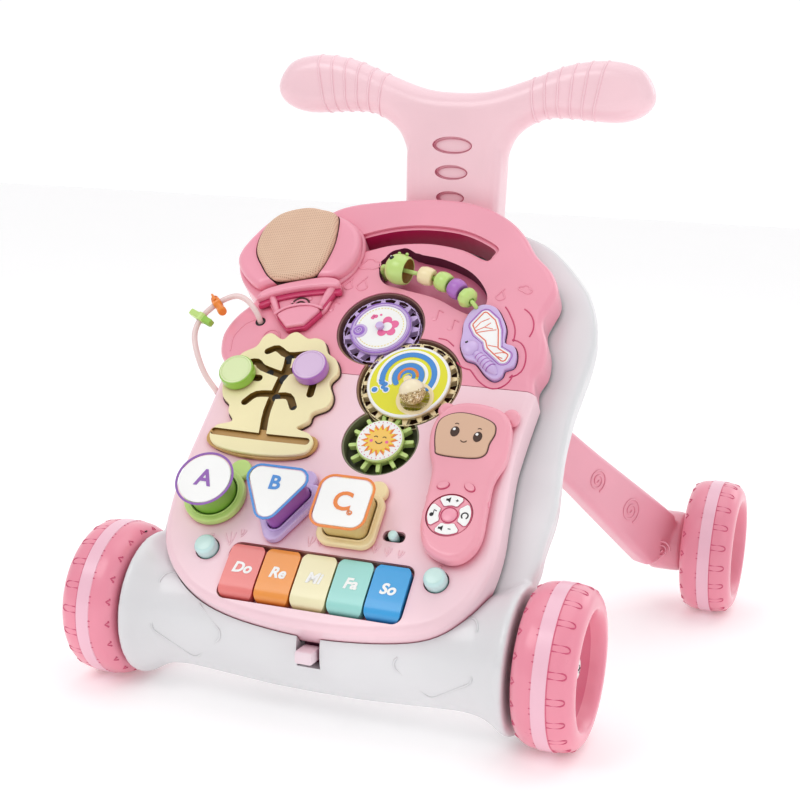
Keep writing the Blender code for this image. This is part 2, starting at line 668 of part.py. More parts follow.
def build_phone(panel):
    """Lift-off toy phone with a round dial pad."""
    handset = outline("phone_handset", [PHONE], 0.0004, 0.0135, edge=0.0040, steps=1)
    handset = cut(handset, outline("dial_seat", [circle(*DIAL_PLACE, 17.4, 28)], 0.0100, 0.03, as_cutter=True))
    finish(handset, PINK, panel)
    dial = turned("phone_dial", [(0, 4.2), (15.5, 4.2), (16.8, 3.4), (16.8, 1.2), (0, 1.2)], 24)
    finish(dial, WHITE, panel, location=(DIAL_PLACE[0] * MM, DIAL_PLACE[1] * MM, 0.0100))


# ---------------------------------------------------------------- white body, axle and latch
BODY_OUTLINE = [(0, 389), (50, 387), (74, 381), (96, 369), (120, 345), (136, 323), (146, 295), (148, 265),
                (144, 216), (145, 177), (150, 135), (148, 100), (148, 84), (140, 50), (120, 20), (80, 4), (0, 0)]
SPOOL = [(148, 3), (148, 54), (143, 55), (134, 48.5), (122, 43.5), (104, 42.5), (70, 44.5), (35, 46.5), (0, 47)]
SPOOL_INSIDE = [(140, 3), (140, 44), (130, 40), (118, 38), (100, 38), (70, 40), (0, 42)]
AXLE_V = (FRONT_AXLE_Y - PANEL_FOOT.y) * math.cos(PANEL_TILT) + (AXLE_HEIGHT - PANEL_FOOT.z) * math.sin(PANEL_TILT)
AXLE_N = (PANEL_FOOT.y - FRONT_AXLE_Y) * math.sin(PANEL_TILT) + (AXLE_HEIGHT - PANEL_FOOT.z) * math.cos(PANEL_TILT)


def mirrored(half):
    """A loop from its right half, which runs from the axis to the axis."""
    left = [(-x, y) for x, y in reversed(half) if x > 0.001]
    return list(half) + left


def spool_solid(name, half, as_cutter):
    """The turned axle housing, along z, from its half profile of (length, radius)."""
    profile = [(0, half[0][0])] + [(r, x) for x, r in half[1:]]
    profile += [(r, -x) for x, r in reversed(half[1:-1])] + [(0, -half[0][0])]
    solid = turned(name, profile, 24, as_cutter=as_cutter)
    solid.data.transform(Matrix.Rotation(math.pi / 2, 4, "Y"))
    solid.data.transform(Matrix.Translation((0.0, AXLE_V, AXLE_N)))
    return solid


def build_body(panel):
    """White shell: tilted back, turned axle housing and handle socket, in one moulding."""
    body = outline("body_shell", [mirrored(BODY_OUTLINE)], BODY_BACK, BODY_FRONT, edge=0.009, steps=1)
    body = join(body, spool_solid("axle_housing", SPOOL, False))
    to_panel = Matrix.Rotation(-PANEL_TILT, 4, "X") @ Matrix.Translation(-PANEL_FOOT)
    socket = box("handle_socket", (-0.050, HANDLE_Y - 0.0155, 0.272), (0.050, HANDLE_Y + 0.0175, 0.3455), 0.004)
    socket.data.transform(to_panel)
    body = join(body, socket)
    hollow = outline("body_hollow", [mirrored(BODY_OUTLINE)], BODY_BACK - 0.01, BODY_FRONT - BODY_WALL,
                     grow=-0.009, as_cutter=True)
    hollow = cut(hollow, box("hollow_top", (-0.2, 0.312, -0.1), (0.2, 0.45, 0.0), as_cutter=True))
    hollow = cut(hollow, box("hollow_foot", (-0.2, -0.05, -0.1), (0.2, 0.078, 0.0), as_cutter=True))
    body = cut(body, hollow)
    inside = spool_solid("housing_hollow", SPOOL_INSIDE, True)
    inside = cut(inside, box("housing_roof", (-0.2, -0.1, BODY_FRONT - BODY_WALL), (0.2, 0.2, 0.1), as_cutter=True))
    inside = join(inside, box("inner_way", (-0.10, 0.045, BODY_BACK + 0.004), (0.10, 0.085, BODY_FRONT - BODY_WALL - 0.001),
                              as_cutter=True))
    body = cut(body, inside)
    panel_room = outline("panel_room", [LOWER_OUTLINE[:-1] + [(122, 240), (-135, 240)]], BODY_FRONT, 0.06,
                         grow=0.0008, as_cutter=True)
    body = cut(body, panel_room)
    axle_hole = rod("axle_hole", (-0.16, AXLE_V, AXLE_N), (0.16, AXLE_V, AXLE_N), AXLE_RADIUS + 0.0004, 24, True)
    body = cut(body, axle_hole)
    latch_slot = box("latch_slot", (-0.0060, -0.245, 0.0445), (0.0120, -0.2110, 0.0700), as_cutter=True)
    latch_slot.data.transform(to_panel)
    body = cut(body, latch_slot)
    tongue_room = box("tongue_room", (-0.0315, HANDLE_Y - 0.0090, 0.285), (0.0315, HANDLE_Y + 0.0090, 0.37),
                      as_cutter=True)
    tongue_room.data.transform(to_panel)
    body = cut(body, tongue_room)
    button_room = rod("button_room", (0, HANDLE_Y + 0.005, 0.318), (0, HANDLE_Y + 0.03, 0.318), 0.0065, 24, True)
    button_room.data.transform(to_panel)
    body = cut(body, button_room)
    finish(body, WHITE, panel)


def build_cover(panel):
    """Back cover with four lugs that carry the fold hinge."""
    inset = [(0, 311), (105, 311), (128, 290), (132, 262), (128, 216), (129, 177), (131, 135), (129, 100),
             (112, 82), (0, 82)]
    low = BODY_BACK - GAP - COVER_THICK
    cover = outline("back_cover", [mirrored(inset)], low, BODY_BACK - GAP)
    hinge_v = (HINGE_Y - PANEL_FOOT.y) * math.cos(PANEL_TILT) + (HINGE_Z - PANEL_FOOT.z) * math.sin(PANEL_TILT)
    hinge_n = -(HINGE_Y - PANEL_FOOT.y) * math.sin(PANEL_TILT) + (HINGE_Z - PANEL_FOOT.z) * math.cos(PANEL_TILT)
    for inner, outer in ((0.022, 0.040), (0.1065, 0.1175)):
        for side in (-1, 1):
            ends = sorted((side * inner, side * outer))
            lug = rod("lug", (ends[0], hinge_v, hinge_n), (ends[1], hinge_v, hinge_n), 0.0120, 24)
            foot = box("lug_foot", (ends[0], hinge_v - 0.0120, hinge_n), (ends[1], hinge_v + 0.0120, low + 0.001))
            cover = join(cover, join(lug, foot))
    cover = cut(cover, rod("hinge_bore", (-0.2, hinge_v, hinge_n), (0.2, hinge_v, hinge_n), HINGE_ROD + 0.0001,
                           32, True))
    finish(cover, WHITE, panel)


def build_axle_and_latch():
    """Front axle rod, and the sprung latch that frees the panel."""
    reach = FRONT_WHEEL_X + 0.008
    axle = rod("front_axle", (-reach, 0, 0), (reach, 0, 0), AXLE_RADIUS, 24)
    finish(axle, STEEL, location=(0.0, FRONT_AXLE_Y, AXLE_HEIGHT))
    latch = box("release_latch", (-0.0070, -0.0160, -0.0050), (0.0070, 0.0020, 0.0050), 0.0015)
    finish(latch, PALE_PINK, location=(0.0030, -0.2220, 0.0545))


# ---------------------------------------------------------------- handle
HANDLE_HALF = [(0, 453), (30, 455.5), (65, 467), (95, 478), (125, 482.6), (150, 477), (163, 464), (165.5, 450),
               (156, 438), (135, 432), (100, 434), (75, 433), (55, 422), (46, 408), (42.5, 390), (40.5, 348), (0, 348)]


def build_handle():
    """Push handle: T-shaped grip and stem with a tongue, and the sprung lock button."""
    root = frame_empty("handle_frame", (0.0, HANDLE_Y, 0.0), (math.radians(90), 0.0, 0.0))
    handle = outline("handle", [mirrored(HANDLE_HALF)], -HANDLE_THICK / 2, HANDLE_THICK / 2, edge=0.010, steps=2)
    tongue = box("tongue", (-0.0300, 0.290, -0.0080), (0.0300, 0.365, 0.0080))
    handle = join(handle, tongue)
    handle = cut(handle, rod("button_pocket", (0, 0.318, 0), (0, 0.318, -0.02), 0.0062, 24, True))
    finish(handle, PALE_PINK, root)
    button = rod("handle_button", (0, 0, 0), (0, 0.0102, 0), 0.0056, 20)
    finish(button, PINK, location=(0.0, HANDLE_Y + 0.0093, 0.318))


# ---------------------------------------------------------------- wheels and rear legs
WHEEL_PROFILE = [(4.2, 9), (12, 9), (12, 4), (34, 4), (43, 22.5), (50, 22.5), (56.5, 18), (59, 12),
                 (59, -12), (56.5, -18), (50, -22.5), (43, -22.5), (34, -6), (12, -6), (12, -20), (4.2, -20)]


def build_wheels():
    """Four wheels with deep dished hubs, each with a cap, turned about their axles."""
    half_side = math.pi / WHEEL_SIDES
    profile = [(r / math.cos(half_side), x) for r, x in WHEEL_PROFILE]
    places = {"front_left": (-FRONT_WHEEL_X, FRONT_AXLE_Y), "front_right": (FRONT_WHEEL_X, FRONT_AXLE_Y),
              "rear_left": (-REAR_WHEEL_X, REAR_AXLE_Y), "rear_right": (REAR_WHEEL_X, REAR_AXLE_Y)}
    for corner, (x, y) in places.items():
        side = math.copysign(1.0, x)
        turn = (0.0, side * math.pi / 2, half_side)
        wheel = turned("wheel_" + corner, profile, WHEEL_SIDES, ring=True)
        finish(wheel, PINK, location=(x, y, AXLE_HEIGHT), rotation=turn, order="ZYX")
        cap = turned("hub_cap_" + corner, [(0, 13.5), (8, 13), (11, 11), (11, 9.3), (0, 9.3)], 16)
        finish(cap, GREY, location=(x, y, AXLE_HEIGHT), rotation=turn, order="ZYX")


def leg_beam(name, start, end, thick, deep):
    """A straight box arm whose broad faces stand upright."""
    start = Vector(start)
    along = Vector(end) - start
    length = along.length
    along.normalize()
    across = Vector((along.y, -along.x, 0.0)).normalized()
    deep_way = along.cross(across)
    shape = bmesh.new()
    bmesh.ops.create_cube(shape, size=1.0)
    bmesh.ops.scale(shape, vec=(thick, deep, length), verts=shape.verts)
    for vert in shape.verts:
        if vert.co.z < 0:
            vert.co.y *= 0.46
    bmesh.ops.bevel(shape, geom=list(shape.edges), offset=0.005, segments=2, profile=0.5, affect="EDGES")
    turn = Matrix((across, deep_way, along)).transposed().to_4x4()
    bmesh.ops.transform(shape, matrix=Matrix.Translation(start + along * length / 2) @ turn, verts=shape.verts)
    mesh = bpy.data.meshes.new(name)
    shape.to_mesh(mesh)
    shape.free()
    return loose_object(name, mesh)


def build_rear_legs():
    """Two splayed legs on one cross rod, each with its wheel block and stub axle."""
    hinge = Vector((0.0, HINGE_Y, HINGE_Z))
    hub = Vector((0.0, REAR_AXLE_Y, AXLE_HEIGHT)) - hinge
    for side, label in ((-1, "left"), (1, "right")):
        leg = leg_beam("rear_leg_" + label, (side * 0.0745, 0.004, -0.004), (side * 0.1710, 0.1690, -0.1440),
                       0.024, 0.052)
        leg = join(leg, rod("barrel", (side * 0.0445, 0, 0), (side * 0.1020, 0, 0), BARREL_RADIUS, 24))
        leg = join(leg, rod("wheel_block", (side * 0.1640, hub.y, hub.z), (side * 0.1965, hub.y, hub.z), 0.0270, 28))
        leg = join(leg, rod("stub_axle", (side * 0.1900, hub.y, hub.z), (side * 0.2295, hub.y, hub.z),
                            AXLE_RADIUS, 24))
        leg = cut(leg, rod("rod_bore", (side * 0.03, 0, 0), (side * 0.115, 0, 0), HINGE_ROD + GAP, 32, True))
        finish(leg, PINK, location=hinge)
    cross = rod("cross_rod", (-0.1180, 0, 0), (0.1180, 0, 0), HINGE_ROD, 32)
    finish(cross, STEEL, location=hinge)


def main():
    clear_scene()
    panel = panel_frame()
    build_body(panel)
    build_cover(panel)
    build_axle_and_latch()
    build_handle()
    build_wheels()
    build_rear_legs()
    build_panel_shells(panel)
    build_panel_inside(panel)
    build_gears(panel)
    build_balloon(panel)
    build_wire(panel)
    build_grub(panel)
    build_tree(panel)
    build_sorter(panel)
    build_keys(panel)
    build_buttons(panel)
    build_phone(panel)


main()
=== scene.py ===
"""Looks of the baby walker: moulded body, play panel, handle, wheels and every toy on the panel.

Laid out as an add-on and run as a script. The frame gives every place; the outlines below are in
millimetres, flat on the play panel (u across, v up its slope, n out of its face) or upright.
"""

import math

import bmesh
import bpy
import numpy as np
from bpy.props import FloatProperty, FloatVectorProperty, PointerProperty
from mathutils import Matrix, Vector
from mathutils.bvhtree import BVHTree


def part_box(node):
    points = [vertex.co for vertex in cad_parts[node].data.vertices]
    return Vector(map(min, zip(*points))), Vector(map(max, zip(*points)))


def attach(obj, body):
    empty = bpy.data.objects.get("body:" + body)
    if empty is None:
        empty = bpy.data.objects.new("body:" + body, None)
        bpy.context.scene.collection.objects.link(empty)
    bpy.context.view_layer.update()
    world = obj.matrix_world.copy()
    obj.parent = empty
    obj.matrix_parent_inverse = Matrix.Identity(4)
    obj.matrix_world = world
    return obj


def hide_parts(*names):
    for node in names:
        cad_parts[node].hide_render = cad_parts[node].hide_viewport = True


bl_info = {
    "name": "Baby walker looks",
    "version": (1, 0, 0),
    "blender": (4, 5, 0),
    "location": "3D View > Sidebar > Walker",
    "description": "Builds the visible pieces and finishes of a baby walker around its packed frame",
    "category": "Object",
}

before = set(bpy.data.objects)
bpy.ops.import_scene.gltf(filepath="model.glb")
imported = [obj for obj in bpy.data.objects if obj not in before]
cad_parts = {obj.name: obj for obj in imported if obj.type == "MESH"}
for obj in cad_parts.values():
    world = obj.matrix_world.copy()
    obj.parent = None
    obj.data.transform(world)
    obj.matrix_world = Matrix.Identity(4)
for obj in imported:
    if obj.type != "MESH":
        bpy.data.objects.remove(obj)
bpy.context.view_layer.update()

# ---------------------------------------------------------------- places read from the frame
MM = 0.001
WORLD = Matrix.Scale(MM, 4)
PANEL_TILT = math.radians(46.5)
PANEL_FOOT = Vector((0.0, -0.2390, 0.0805))
PANEL = Matrix.Translation(PANEL_FOOT) @ Matrix.Rotation(PANEL_TILT, 4, "X") @ WORLD
TO_PANEL = PANEL.inverted()


def middle(node):
    """Centre of a frame node's box, in metres."""
    low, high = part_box(node)
    return (low + high) / 2


def on_panel(node):
    """Centre of a frame node on the panel, in panel millimetres."""
    return TO_PANEL @ middle(node)


# ---------------------------------------------------------------- a socket that does sums
def feed(tree, socket, value):
    """Link a value to a socket, or set the socket to a plain number, vector or colour."""
    if isinstance(value, Value):
        tree.links.new(value.socket, socket)
        return
    if socket.type == "RGBA" and len(value) == 3:
        value = (*value, 1.0)
    socket.default_value = value


class Value:
    """A node socket, shader or geometry, that takes part in Python sums."""

    def __init__(self, tree, socket):
        self.tree = tree
        self.socket = socket

    @classmethod
    def of(cls, tree, kind, settings=None, values=None, out=0):
        """Add a node, set it up, feed its sockets and return one of its outputs."""
        node = tree.nodes.new(kind)
        for key, setting in (settings or {}).items():
            if key == "stops":
                while len(node.color_ramp.elements) < len(setting):
                    node.color_ramp.elements.new(1.0)
                for stop, (place, colour) in zip(node.color_ramp.elements, setting):
                    stop.position = place
                    stop.color = (*colour, 1.0)
            else:
                setattr(node, key, setting)
        for key, value in (values or {}).items():
            feed(tree, node.inputs[key], value)
        return cls(tree, node.outputs[out])

    def math(self, operation, *others, flip=False, clamp=False):
        terms = (others[0], self, *others[1:]) if flip else (self, *others)
        return Value.of(self.tree, "ShaderNodeMath", {"operation": operation, "use_clamp": clamp},
                        dict(enumerate(terms)))

    def __add__(self, other):
        return self.math("ADD", other)

    __radd__ = __add__

    def __sub__(self, other):
        return self.math("SUBTRACT", other)

    def __rsub__(self, other):
        return self.math("SUBTRACT", other, flip=True)

    def __mul__(self, other):
        return self.math("MULTIPLY", other)

    __rmul__ = __mul__

    def __truediv__(self, other):
        return self.math("DIVIDE", other)

    def __pow__(self, other):
        return self.math("POWER", other)

    def wave(self):
        return self.math("SINE")

    def size(self):
        return self.math("ABSOLUTE")

    def step(self, edge, blur):
        """0 below edge, 1 above it, over a band of width blur."""
        return ((self - edge) / blur + 0.5).math("ADD", 0.0, clamp=True)

    def axes(self):
        """The three parts of a vector."""
        node = self.tree.nodes.new("ShaderNodeSeparateXYZ")
        self.tree.links.new(self.socket, node.inputs[0])
        return [Value(self.tree, out) for out in node.outputs]

    def blend(self, low, high):
        """A colour between two, with this value as the share of the second."""
        return Value.of(self.tree, "ShaderNodeMix", {"data_type": "RGBA"}, {0: self, 6: low, 7: high}, 2)


# ---------------------------------------------------------------- finishes
def tint(red, green, blue):
    """A linear colour from display values of 0 to 255."""
    values = [channel / 255 for channel in (red, green, blue)]
    return tuple(c / 12.92 if c <= 0.04045 else ((c + 0.055) / 1.055) ** 2.4 for c in values)


def object_coords(tree, location=(0.0, 0.0, 0.0), rotation=(0.0, 0.0, 0.0), scale=(MM, MM, MM)):
    """Object coordinates measured from a place and turned with it, in millimetres."""
    coords = Value.of(tree, "ShaderNodeTexCoord", out="Object")
    return Value.of(tree, "ShaderNodeMapping", {"vector_type": "TEXTURE"},
                    {"Vector": coords, "Location": location, "Rotation": rotation, "Scale": scale})


def panel_coords(tree):
    """Coordinates on the play panel, in millimetres: across, up the slope and out of its face."""
    return object_coords(tree, PANEL_FOOT, (PANEL_TILT, 0.0, 0.0))


def noise(tree, coords, scale, detail=2.0):
    return Value.of(tree, "ShaderNodeTexNoise", {}, {"Vector": coords, "Scale": scale, "Detail": detail})


def shell(name, roughness, coat, metallic=0.0):
    """A new material with its Principled shader, and its tree."""
    material = bpy.data.materials.new(name)
    material.use_nodes = True
    shader = material.node_tree.nodes["Principled BSDF"]
    shader.inputs["Roughness"].default_value = roughness
    shader.inputs["Coat Weight"].default_value = coat
    shader.inputs["Coat Roughness"].default_value = 0.12
    shader.inputs["Metallic"].default_value = metallic
    return material, material.node_tree, shader


def finish(tree, shader, colour, roughness, height, strength=0.12, reach=0.0003):
    """Feed the shader's colour, roughness and bump."""
    feed(tree, shader.inputs["Base Color"], colour)
    feed(tree, shader.inputs["Roughness"], roughness)
    bump = Value.of(tree, "ShaderNodeBump", {}, {"Strength": strength, "Distance": reach, "Height": height})
    feed(tree, shader.inputs["Normal"], bump)


def moulded(name, colour, crevice_shade=None, roughness=0.30, coat=0.30, crevice=5.0, grain=0.10):
    """Injection-moulded plastic: soft cloudy tone, fine skin texture and a painted shade colour mixed in
    where ambient occlusion finds crevices.
    """
    found = bpy.data.materials.get(name)
    if found:
        return found
    crevice_shade = crevice_shade or tuple(c ** 1.9 * 0.75 for c in colour)
    material, tree, shader = shell(name, roughness, coat)
    coords = object_coords(tree)
    cloud = noise(tree, coords, 0.012)
    skin = noise(tree, coords, 1.1, 3.0)
    flow = noise(tree, coords, 0.08)
    light = tuple(min(c * 1.04, 1.0) for c in colour)
    dark = tuple(c * 0.93 for c in colour)
    tone = cloud.step(0.5, 0.5).blend(dark, light)
    # painted shade: where ambient occlusion finds the surface closed in, the darker crevice colour is mixed
    # into the tone
    shade_ao = Value.of(tree, "ShaderNodeAmbientOcclusion", {"samples": 4},
                         {"Distance": crevice * MM}, "AO")
    corner = (1.0 - shade_ao).step(0.52, 0.75)
    tone = corner.blend(tone, crevice_shade)
    finish(tree, shader, tone, flow * 0.10 + (roughness - 0.05) + skin * 0.05, skin, grain)
    return material


# Each entry: the plastic's colour, then the painted shade colour that its crevices darken to.
PALETTE = {
    "handle_pink": ((251, 211, 219), (226, 120, 150)),
    "rose_shell": ((244, 160, 180), (200, 30, 90)),
    "blush_shell": ((250, 213, 222), (226, 110, 140)),
    "wheel_pink": ((243, 147, 168), (205, 50, 95)),
    "band_pink": ((248, 196, 213), (230, 120, 150)),
    "hub_pink": ((226, 108, 138), (176, 40, 80)),
    "leg_pink": ((243, 166, 183), (214, 82, 118)),
    "body_white": ((229, 229, 231), (142, 140, 144)),
    # painted shade for the grub well's walls
    "well_maroon": ((92, 16, 56), (50, 5, 30)),
    # painted shade for the walls of slots and hollows
    "olive_wall": ((134, 98, 24), (34, 22, 6)),
    # painted shade for the floors of slots and recesses
    "black_floor": ((18, 20, 26), (6, 6, 8)),
    "tree_cream": ((248, 236, 186), (200, 160, 84)),
    "leaf_green": ((196, 226, 128), (116, 168, 40)),
    "deep_green": ((150, 200, 70), (84, 140, 24)),
    "lilac": ((212, 176, 226), (150, 84, 176)),
    "violet": ((178, 112, 198), (120, 50, 150)),
    "gear_lilac": ((208, 182, 230), (170, 130, 206)),
    "gear_cream": ((248, 230, 182), (206, 170, 96)),
    "gear_green": ((206, 232, 140), (140, 184, 60)),
    "block_cream": ((248, 228, 176), (206, 168, 96)),
    "key_coral": ((242, 132, 128), (196, 62, 60)),
    "key_orange": ((248, 156, 66), (206, 92, 20)),
    "key_cream": ((248, 240, 196), (208, 190, 120)),
    "key_mint": ((158, 222, 214), (84, 168, 160)),
    "key_blue": ((56, 164, 228), (16, 100, 176)),
    "button_mint": ((204, 238, 236), (96, 172, 164)),
    "bead_orange": ((244, 138, 40), (196, 84, 10)),
    "wire_pink": ((240, 212, 210), (206, 150, 150)),
    "label_white": ((250, 250, 248), (220, 220, 218)),
    "print_purple": ((142, 86, 176), (100, 50, 140)),
    "print_blue": ((64, 140, 216), (30, 90, 170)),
    "print_orange": ((238, 132, 52), (200, 90, 20)),
    "print_pink": ((240, 106, 160), (206, 60, 120)),
    "print_yellow": ((250, 214, 60), (220, 170, 20)),
    "ink_black": ((26, 22, 26), (8, 8, 8)),
    "shadow_brown": ((84, 52, 46), (40, 22, 18)),
    "phone_pink": ((244, 164, 180), (206, 60, 100)),
    "screw_grey": ((150, 150, 154), (70, 70, 74)),
    # painted shade under raised parts, along engraved lines and round the phone's keys and dial pads
    "crimson": ((206, 52, 104), (150, 16, 66)),
    # painted shade for the walls of the carry slot and the dragonfly recess
    "slot_crimson": ((190, 26, 88), (130, 8, 56)),
    "well_rose": ((222, 118, 150), (176, 50, 96)),
    # painted shade for the walls of the handle's sunk ovals
    "oval_rose": ((222, 142, 162), (190, 84, 112)),
    # painted shade for the tread grooves
    "groove_rose": ((212, 78, 118), (180, 40, 84)),
    "inner_grey": ((208, 206, 207), (130, 126, 128)),
    "gear_violet": ((158, 108, 206), (110, 60, 170)),
    "print_cream": ((244, 226, 150), (220, 190, 90)),
    "print_sun": ((252, 204, 96), (230, 160, 50)),
    "face_lime": ((232, 228, 36), (196, 190, 10)),
    "bark_tan": ((206, 160, 88), (130, 80, 30)),
    "knob_green": ((222, 236, 180), (170, 206, 100)),
    "knob_lilac": ((224, 194, 228), (176, 128, 196)),
    "block_green": ((124, 176, 60), (70, 120, 24)),
    "block_violet": ((150, 84, 172), (100, 46, 128)),
    "block_tan": ((214, 186, 118), (160, 128, 64)),
    "bay_beige": ((206, 164, 152), (150, 92, 84)),
    "mint_pale": ((208, 238, 232), (140, 200, 192)),
    "slot_teal": ((196, 148, 152), (120, 70, 76)),
    "vein_orange": ((236, 112, 84), (200, 70, 40)),
    "screen_tan": ((220, 180, 152), (170, 122, 96)),
    "ink_brown": ((62, 34, 18), (30, 14, 6)),
    "latch_pink": ((244, 222, 230), (200, 140, 160)),
    # painted shade for the back of the latch slot
    "slot_maroon": ((126, 40, 76), (60, 10, 34)),
    "board_green": ((30, 110, 60), (10, 50, 26)),
}
SATIN = {"well_maroon", "olive_wall", "black_floor", "shadow_brown", "ink_black", "bay_beige", "screen_tan",
         "ink_brown", "slot_maroon"}


# ---------------------------------------------------------------- what a user can change
def colour_setting(colour, label_text):
    """A colour property that starts at a palette colour."""
    return FloatVectorProperty(name=label_text, description="Base colour: " + label_text.lower(),
                               subtype="COLOR",
                               size=3, min=0.0, max=1.0, default=tint(*PALETTE[colour][0]))


def width_setting(label_text, about, millimetres):
    """A length property, given here in millimetres."""
    return FloatProperty(name=label_text, description=about, subtype="DISTANCE", unit="LENGTH",
                         default=millimetres * MM, min=0.2 * MM, max=8.0 * MM, precision=5)


class WalkerSizes(bpy.types.PropertyGroup):
    """Sizes of the fine detail."""
    relief_width: width_setting("Relief line", "Thickness of the raised lines on the panel", 1.1)
    rib_width: width_setting("Grip rib", "Thickness of the ribs round the grips", 2.2)
    wire_width: width_setting("Bead wire", "Thickness of the moulded bead wire", 4.7)
    slot_width: width_setting("Tree slot", "Width of the slots in the tree", 6.2)
    # how far the painted crevice shade reaches
    crevice_shade_reach: width_setting("Crevice reach",
                                 "How near a surface has to be for a crevice to deepen in tone", 5.0)


class WalkerColours(bpy.types.PropertyGroup):
    """Main colours, each named as in the palette."""
    body_white: colour_setting("body_white", "Body")
    rose_shell: colour_setting("rose_shell", "Upper panel")
    blush_shell: colour_setting("blush_shell", "Lower panel")
    handle_pink: colour_setting("handle_pink", "Handle")
    wheel_pink: colour_setting("wheel_pink", "Wheels")
    band_pink: colour_setting("band_pink", "Wheel bands")
    leg_pink: colour_setting("leg_pink", "Rear legs")
    tree_cream: colour_setting("tree_cream", "Tree")
    gear_lilac: colour_setting("gear_lilac", "Flower gear")
    gear_cream: colour_setting("gear_cream", "Spiral gear")
    gear_green: colour_setting("gear_green", "Sun gear")
    phone_pink: colour_setting("phone_pink", "Phone and balloon")


def chosen_width(name):
    """A size setting, in millimetres."""
    return getattr(bpy.context.scene.walker_sizes, name) / MM


def paint(name):
    """The moulded finish of one palette colour, or of the colour chosen in its place, with its painted
    crevice shade.
    """
    plain, crevice_shade = PALETTE[name]
    colours = bpy.context.scene.walker_colours
    colour = tuple(getattr(colours, name)) if hasattr(colours, name) else tint(*plain)
    dull = name in SATIN
    return moulded(name, colour, tint(*crevice_shade), 0.55 if dull else 0.28, 0.05 if dull else 0.35,
                   chosen_width("crevice_shade_reach"))


# ---------------------------------------------------------------- outlines and paths, in millimetres
def spline(points, per=5, closed=True):
    """Points on a smooth curve through the given ones."""
    points = [Vector(p) for p in points]
    if closed:
        chain = [points[-1], *points, points[0], points[1]]
    else:
        chain = [points[0] * 2 - points[1], *points, points[-1] * 2 - points[-2]]
    path = []
    for i in range(1, len(chain) - 2):
        a, b, c, d = chain[i - 1:i + 3]
        for step in range(per):
            t = step / per
            path.append(0.5 * ((2 * b) + (c - a) * t + (2 * a - 5 * b + 4 * c - d) * t ** 2
                               + (3 * b - a - 3 * c + d) * t ** 3))
    if not closed:
        path.append(points[-1])
    return [tuple(p) for p in path]


def circle(x, y, radius, sides=48):
    return [(x + radius * math.cos(a), y + radius * math.sin(a))
            for a in (2 * math.pi * i / sides for i in range(sides))]


def ellipse(x, y, wide, high, sides=48, turn=0.0):
    c, s = math.cos(turn), math.sin(turn)
    angles = [2 * math.pi * i / sides for i in range(sides)]
    return [(x + wide * math.cos(a) * c - high * math.sin(a) * s,
             y + wide * math.cos(a) * s + high * math.sin(a) * c) for a in angles]


def arc(x, y, radius, start, end, steps=16):
    """Points on an arc; the angles are in degrees."""
    angles = [math.radians(start + (end - start) * i / steps) for i in range(steps + 1)]
    return [(x + radius * math.cos(a), y + radius * math.sin(a)) for a in angles]


def rounded_box(x, y, width, height, radius, steps=6):
    loop = []
    for quarter, (sx, sy) in enumerate(((1, 1), (-1, 1), (-1, -1), (1, -1))):
        loop += arc(x + sx * (width / 2 - radius), y + sy * (height / 2 - radius), radius,
                    90 * quarter, 90 * quarter + 90, steps)
    return loop


def stroke(path, half, steps=8):
    """A slot-shaped loop of even width along an open path."""
    points = [Vector(p) for p in path]
    ways = [(b - a).normalized() for a, b in zip(points, points[1:])]
    ways = [ways[0], *[(a + b).normalized() for a, b in zip(ways, ways[1:])], ways[-1]]
    sides = [Vector((-w.y, w.x)) * half for w in ways]
    left = [tuple(p + s) for p, s in zip(points, sides)]
    right = [tuple(p - s) for p, s in zip(points, sides)]
    start = math.degrees(math.atan2(ways[0].y, ways[0].x))
    end = math.degrees(math.atan2(ways[-1].y, ways[-1].x))
    cap_end = arc(*points[-1], half, end - 90, end + 90, steps)[1:-1]
    cap_start = arc(*points[0], half, start + 90, start + 270, steps)[1:-1]
    return right + cap_end + left[::-1] + cap_start


def corner_loop(corners, radius, steps=6):
    """A polygon with round corners of one radius."""
    loop = []
    count = len(corners)
    for i in range(count):
        here = Vector(corners[i])
        back = (Vector(corners[i - 1]) - here).normalized()
        ahead = (Vector(corners[(i + 1) % count]) - here).normalized()
        half = back.angle(ahead) / 2
        centre = here + (back + ahead).normalized() * (radius / math.sin(half))
        first = here + back * (radius / math.tan(half)) - centre
        last = here + ahead * (radius / math.tan(half)) - centre
        for step in range(steps + 1):
            point = first.lerp(last, step / steps).normalized() * radius + centre
            loop.append((point.x, point.y))
    return loop


def grown(loop, distance):
    """A loop moved outwards by a small distance, or inwards by a negative one."""
    points = np.array(loop, float)
    ahead = np.roll(points, -1, 0)
    behind = np.roll(points, 1, 0)
    way = ahead - behind
    way /= np.maximum(np.linalg.norm(way, axis=1), 1e-9)[:, None]
    area = np.sum(points[:, 0] * ahead[:, 1] - ahead[:, 0] * points[:, 1])
    out = np.stack([way[:, 1], -way[:, 0]], 1) * math.copysign(distance, area)
    return [tuple(p) for p in points + out]


def mirrored(half):
    """A loop from its right half, which runs from the axis to the axis."""
    return list(half) + [(-x, y) for x, y in reversed(half) if x > 0.001]


# ---------------------------------------------------------------- solids, in millimetres
def new_object(name, mesh):
    obj = bpy.data.objects.new(name, mesh)
    bpy.context.scene.collection.objects.link(obj)
    return obj


def freeze(obj, weld=0.0005):
    """A plain mesh from an object with its modifiers applied: welded, faces outwards."""
    graph = bpy.context.evaluated_depsgraph_get()
    graph.update()
    mesh = bpy.data.meshes.new_from_object(obj.evaluated_get(graph))
    name = obj.name
    materials = [m for m in obj.data.materials] if obj.type == "MESH" else []
    bpy.data.objects.remove(obj, do_unlink=True)
    shape = bmesh.new()
    shape.from_mesh(mesh)
    bmesh.ops.remove_doubles(shape, verts=shape.verts, dist=weld)
    bmesh.ops.recalc_face_normals(shape, faces=shape.faces)
    shape.to_mesh(mesh)
    shape.free()
    solid = new_object(name, mesh)
    if materials and not mesh.materials:
        for material in materials:
            mesh.materials.append(material)
    return solid


